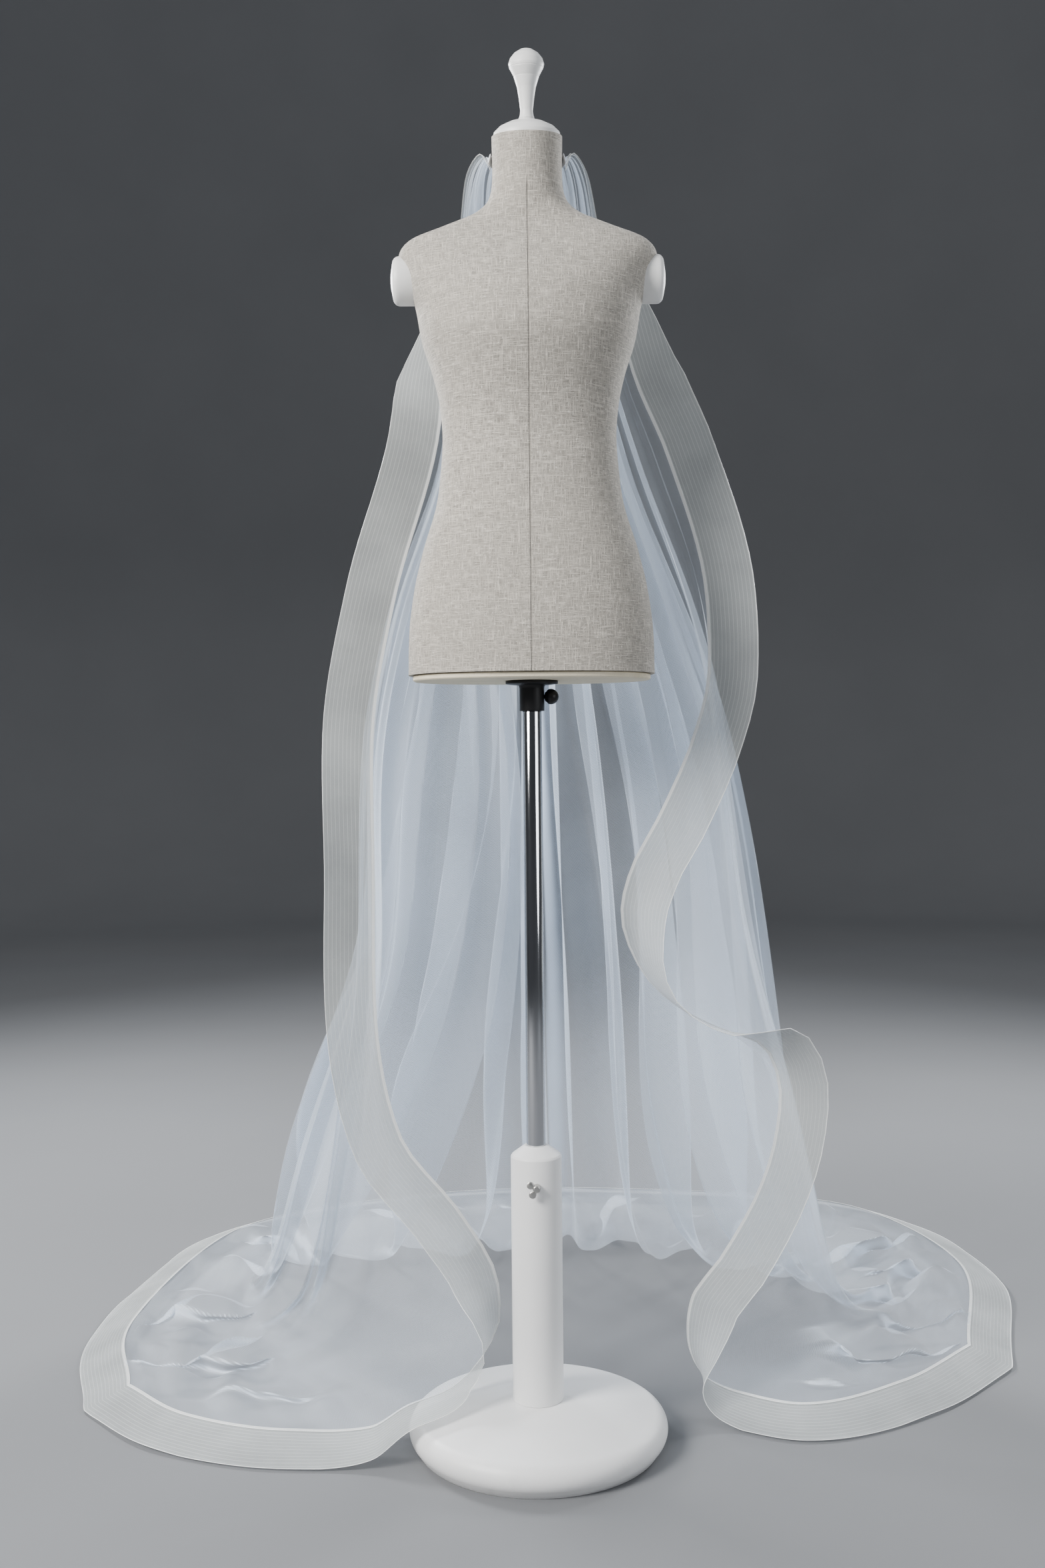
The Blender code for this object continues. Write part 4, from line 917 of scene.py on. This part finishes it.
class VEIL_OT_braid(bpy.types.Operator):
    """Make the braid round the veil's edge with its wiry border and its stitched seam"""

    bl_idname = "veil.braid"
    bl_label = "Braid"

    def execute(self, context):
        look = context.scene.veil_look
        down, across, points, _, _ = folded_sheet(look)
        seam, tangent, way, widths = braid_ways(down, across, points, look.braid_width)
        shares = np.linspace(-0.05, 1.0, 13)
        run = np.concatenate([[0], np.cumsum(np.linalg.norm(np.diff(seam, axis=0), axis=1))])
        normal = unit(np.cross(tangent, way))
        flute = 0.0035 * np.sin(run / 0.052) * np.sin(run / 0.31 + 1.0)
        strip = seam[:, None] + way[:, None] * (widths[:, None] * shares)[..., None]
        strip += normal[:, None] * (flute[:, None] * np.clip(shares, 0, 1) ** 1.5)[..., None]
        strip[..., 2] = np.maximum(strip[..., 2], BRAID_FLOOR)
        uv = np.stack(np.broadcast_arrays(run[:, None], widths[:, None] * shares), axis=-1)
        faces = grid_faces(len(seam), len(shares))
        band = mesh_object(
            "braid_band", strip.reshape(-1, 3), faces, braid_finish(look), uv=uv.reshape(-1, 2)
        )
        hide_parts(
            "braid_left_edge", "braid_right_edge", "braid_left_hem", "braid_back_hem", "braid_right_hem"
        )
        finish = Finish("braid_cord", roughness=0.30, sheen=0.2)
        tone = finish.noise(finish.object_place(), 240.0, 2.0)
        finish.set(Base_Color=finish.between(tone, (0.86, 0.88, 0.88), (0.95, 0.96, 0.95)))
        edge = strip[:, -1] + np.array([0, 0, 0.0004])
        cord_points, cord_faces = tube(edge, 0.0005)
        cord = mesh_object("braid_edge_cord", cord_points, cord_faces, finish.material)
        stitch_path = seam + way * (widths * 0.02)[:, None] + normal * 0.0005
        stitch_points, stitch_faces = tube(stitch_path, 0.00035, sides=5)
        stitch = mesh_object("braid_seam_thread", stitch_points, stitch_faces, finish.material)
        return {"FINISHED"}


class VEIL_OT_form(bpy.types.Operator):
    """Make the linen torso, the board under it, its caps and its finial"""

    bl_idname = "veil.form"
    bl_label = "Dress form"

    def execute(self, context):
        look = context.scene.veil_look
        points, uv = form_surface()
        rows, columns = points.shape[:2]
        faces = [tuple(face) for face in grid_faces(rows, columns)]
        last = (rows - 1) * columns
        faces += [tuple(range(columns - 1)), tuple(range(last + columns - 1, last, -1))]
        torso = mesh_object(
            "torso_linen", points.reshape(-1, 3), faces, linen_finish(look), uv=uv.reshape(-1, 2), angle=40
        )
        weld(torso)
        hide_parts("form_body")
        self.board(points[-1])
        white = painted_finish("moulded_white", (0.84, 0.84, 0.83), 0.42)
        cap_profile = (
            [(0, .1925), (.012, .1919), (.0245, .1895)] + arc(.0245, .1805, .009, 65, 0, 4)
            + [(.0335, .1503), (0, .1503)]
        )
        for side, sign in (("left", -1), ("right", 1)):
            turned_piece(
                "arm_disc_" + side, cap_profile, white, "arm_cap_" + side, "white_plastic",
                place=(0, 0, 1.640), turn=(0, sign * math.pi / 2, 0)
            )
        tilt = math.radians(NECK_SLOPE)
        turned_piece(
            "neck_disc", NECK_PROFILE, white, "neck_cap", "white_plastic",
            place=(0, -NECK_LEAN, 1.8347), turn=(tilt, 0, 0)
        )
        finial_profile = [(radius, height - FINIAL_FOOT) for radius, height in FINIAL_PROFILE]
        foot = (0, -NECK_LEAN - CAP_HEIGHT * math.sin(tilt), NECK_TOP + CAP_HEIGHT * math.cos(tilt))
        turned_piece(
            "finial_turned", finial_profile, white, "finial", "white_plastic", place=foot, turn=(tilt, 0, 0)
        )
        return {"FINISHED"}

    def board(self, outline):
        """The cream board under the hips: the torso's own outline drawn in by 6 mm, 8 mm thick."""
        flat = outline[:-1, :2]
        inward = unit(flat) * 0.006
        steps = ((0.0015, 1.0865), (0.0, 1.0850), (0.0, 1.0800), (0.0015, 1.0785))
        rings = [
            np.column_stack([flat - inward - unit(flat) * draw, np.full(len(flat), z)]) for draw, z in steps
        ]
        faces = closed_faces(len(rings), len(flat))
        finish = Finish("cream_board", roughness=0.72)
        place = finish.object_place()
        grain = finish.noise(place, 70.0, 3.0, stretch=(0.12, 1.0, 1.0))
        fleck = finish.steps(finish.noise(place, 420.0, 1.0), 0.62, 0.70)
        cream = finish.between(grain, (0.70, 0.64, 0.50), (0.78, 0.72, 0.58))
        finish.set(Base_Color=finish.blend(fleck * 0.3, cream, (0.52, 0.45, 0.33)))
        finish.bump(grain, 0.4, 0.0003)
        board = mesh_object("hip_board", np.concatenate(rings), faces, finish.material, angle=40)
        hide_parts("form_base_board")


class VEIL_OT_stand(bpy.types.Operator):
    """Make the base, the column, the pole, the collar and the two screws"""

    bl_idname = "veil.stand"
    bl_label = "Stand"

    def execute(self, context):
        look = context.scene.veil_look
        paint = painted_finish("white_paint", look.white_colour, 0.46, wear_below=0.05)
        chrome = metal_finish("chrome", (0.66, 0.67, 0.69), 0.07)
        zinc = metal_finish("zinc", (0.62, 0.61, 0.59), 0.30, brushed=0.12)
        black = painted_finish("black_plastic", (0.018, 0.018, 0.019), 0.42, speckle=-0.6)
        quarter = np.linspace(0, math.pi / 2, 16)
        dome = [(.050 + .116 * (a / quarter[-1]), .062 - .0166 * (1 - math.cos(a))) for a in quarter]
        base = [(0, .062)] + dome + arc(.161, .024, .022, 77, -40, 18)[1:] + [(.171, 0), (0, 0)]
        turned_piece("base_dish", base, paint, "stand_base", "white_paint", steps=192)
        column_profile = (
            (.0138, .4225), (.0170, .4225), (.034, .410), (.036, .407), (.036, .0623), (.0138, .0623)
        )
        turned_piece("column_tube", column_profile, paint, "stand_column", "white_paint", steps=128)
        pole = ((0, 1.0357), (.0135, 1.0357), (.0135, .110), (0, .110))
        turned_piece("pole_tube", pole, chrome, "pole", "chrome")
        collar = (
            (0, 1.078), (.037, 1.078), (.037, 1.074), (.0185, 1.072), (.0175, 1.068), (.0175, 1.036),
            (0, 1.036)
        )
        turned_piece("collar_cup", collar, black, "clamp_collar", "black_plastic")
        knob = [(0, .0202)] + arc(0, .0092, .0110, 78, -20, 9)
        knob += [(.0065, .0020), (.0060, .0006), (.003, .0006), (.003, -.010), (0, -.010)]
        turned_piece(
            "knob_turned", knob, black, "clamp_knob", "black_plastic", place=(.0175, 0, KNOB_AXIS),
            turn=(0, math.pi / 2, 0), body="clamp_knob"
        )
        shank = (
            (0, .013), (.004, .013), (.0052, .0118), (.0052, 0), (.0028, 0), (.0028, -.012), (0, -.012)
        )
        turned_piece(
            "wing_shank", shank, zinc, "wing_screw", "zinc", place=(0, -.0364, WING_AXIS),
            turn=(math.pi / 2, 0, 0), body="wing_screw", steps=48
        )
        for count, degrees in enumerate((150, 235)):
            self.wing(f"wing_{count + 1}", math.radians(degrees), zinc)
        return {"FINISHED"}

    def wing(self, name, angle, finish):
        """A flat ear of the wing screw: narrow at the shank, wide and round at its tip, with soft edges."""
        spin = np.linspace(0, 2 * math.pi, 40, endpoint=False)
        out = .0088 + .0062 * np.cos(spin)
        side = .0062 * np.sin(spin) * np.interp(np.cos(spin), (-1, 1), (.55, 1.0))
        x = out * math.cos(angle) - side * math.sin(angle)
        z = out * math.sin(angle) + side * math.cos(angle)
        centre = np.array([.0088 * math.cos(angle), .0088 * math.sin(angle)])
        rings = []
        for inset, depth in ((.10, .0015), (.0, .0010), (.0, -.0010), (.10, -.0015)):
            flat = np.column_stack([x, z]) * (1 - inset) + centre * inset
            back = np.full(len(flat), -WING_FORWARD - depth)
            rings.append(np.column_stack([flat[:, 0], back, WING_AXIS + flat[:, 1]]))
        faces = closed_faces(len(rings), len(spin))
        mesh_object(name, np.concatenate(rings), faces, finish, "wing_screw", angle=50)

class VEIL_OT_stage(bpy.types.Operator):
    """Lay the studio floor and backdrop, and set the lights and the camera"""

    bl_idname = "veil.stage"
    bl_label = "Stage"

    def execute(self, context):
        look = context.scene.veil_look
        self.sweep(look)
        for name, place, aim, size, power, hue in LAMPS:
            light = bpy.data.lights.new(name, "AREA")
            light.shape = "DISK"
            light.size = size
            light.energy = power
            light.color = hue
            lamp = bpy.data.objects.new(name, light)
            lamp.location = place
            lamp.visible_camera = False
            way = np.array(aim, float) - np.array(place, float)
            flat = math.hypot(way[0], way[1])
            lamp.rotation_euler = (math.atan2(flat, -way[2]), 0, math.atan2(-way[0], way[1]))
            context.scene.collection.objects.link(lamp)
        world = bpy.data.worlds.new("studio")
        world.use_nodes = True
        background = world.node_tree.nodes["Background"]
        background.inputs["Color"].default_value = WORLD_COLOUR
        background.inputs["Strength"].default_value = WORLD_STRENGTH
        context.scene.world = world
        camera = bpy.data.cameras.new("photo_view")
        camera.sensor_fit = "VERTICAL"
        camera.sensor_height = FILM_HEIGHT
        camera.lens = LENS
        camera.dof.use_dof = False
        view = bpy.data.objects.new("photo_view", camera)
        view.location = CAMERA_PLACE
        view.rotation_euler = (math.pi / 2 - math.radians(CAMERA_TIP), math.radians(CAMERA_ROLL), 0)
        context.scene.collection.objects.link(view)
        context.scene.camera = view
        context.scene.view_settings.view_transform = "AgX"
        context.scene.view_settings.look = "AgX - Medium High Contrast"
        context.scene.view_settings.exposure = EXPOSURE
        return {"FINISHED"}

    def sweep(self, look):
        """A round floor that turns up into a wall all round, in matt paint with faint mottling."""
        profile = [(0.4, 0.0)] + arc(FLOOR_RADIUS, FLOOR_TURN, FLOOR_TURN, -90, 0, 20)
        profile += [(FLOOR_RADIUS + FLOOR_TURN, WALL_TOP)]
        reach, height = np.array(profile).T[..., None]
        around = np.linspace(0, 2 * math.pi, 96, endpoint=False)
        x, y = reach * np.cos(around), reach * np.sin(around)
        points = np.stack(np.broadcast_arrays(x, y, height), axis=-1)
        finish = Finish("studio_sweep", roughness=0.85)
        place = finish.object_place()
        mottle = finish.steps(finish.noise(place, 1.3, 4.0), 0.3, 0.7)
        finish.set(Base_Color=finish.blend(mottle, look.floor_colour, shade(look.floor_colour, 1.05)))
        finish.bump(finish.noise(place, 160.0, 2.0), 0.15, 0.0002)
        rings, sides = points.shape[:2]
        faces = [tuple(range(sides))] + [tuple(face) for face in grid_faces(rings, sides, wrap=True)]
        floor = mesh_object("studio_floor", points.reshape(-1, 3), faces, finish.material, body=None)


class VEIL_PT_panel(bpy.types.Panel):
    """Panel with the veil's sizes, colours and steps"""

    bl_idname = "VEIL_PT_panel"
    bl_label = "Veil"
    bl_space_type = "VIEW_3D"
    bl_region_type = "UI"
    bl_category = "Veil"

    def draw(self, context):
        for name in VEIL_PG_look.__annotations__:
            self.layout.prop(context.scene.veil_look, name)
        for operator in OPERATORS:
            self.layout.operator(operator.bl_idname)


OPERATORS = (VEIL_OT_form, VEIL_OT_stand, VEIL_OT_tulle, VEIL_OT_braid, VEIL_OT_stage)


def register():
    """Register the classes and the scene's settings."""
    for made in (VEIL_PG_look, *OPERATORS, VEIL_PT_panel):
        bpy.utils.register_class(made)
    bpy.types.Scene.veil_look = PointerProperty(type=VEIL_PG_look)


def unregister():
    """Take the classes and the scene's settings away again."""
    del bpy.types.Scene.veil_look
    for made in reversed((VEIL_PG_look, *OPERATORS, VEIL_PT_panel)):
        bpy.utils.unregister_class(made)


def main():
    """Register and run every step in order."""
    register()
    for operator in OPERATORS:
        group, step = operator.bl_idname.split(".")
        getattr(getattr(bpy.ops, group), step)()


if __name__ == "__main__":
    main()
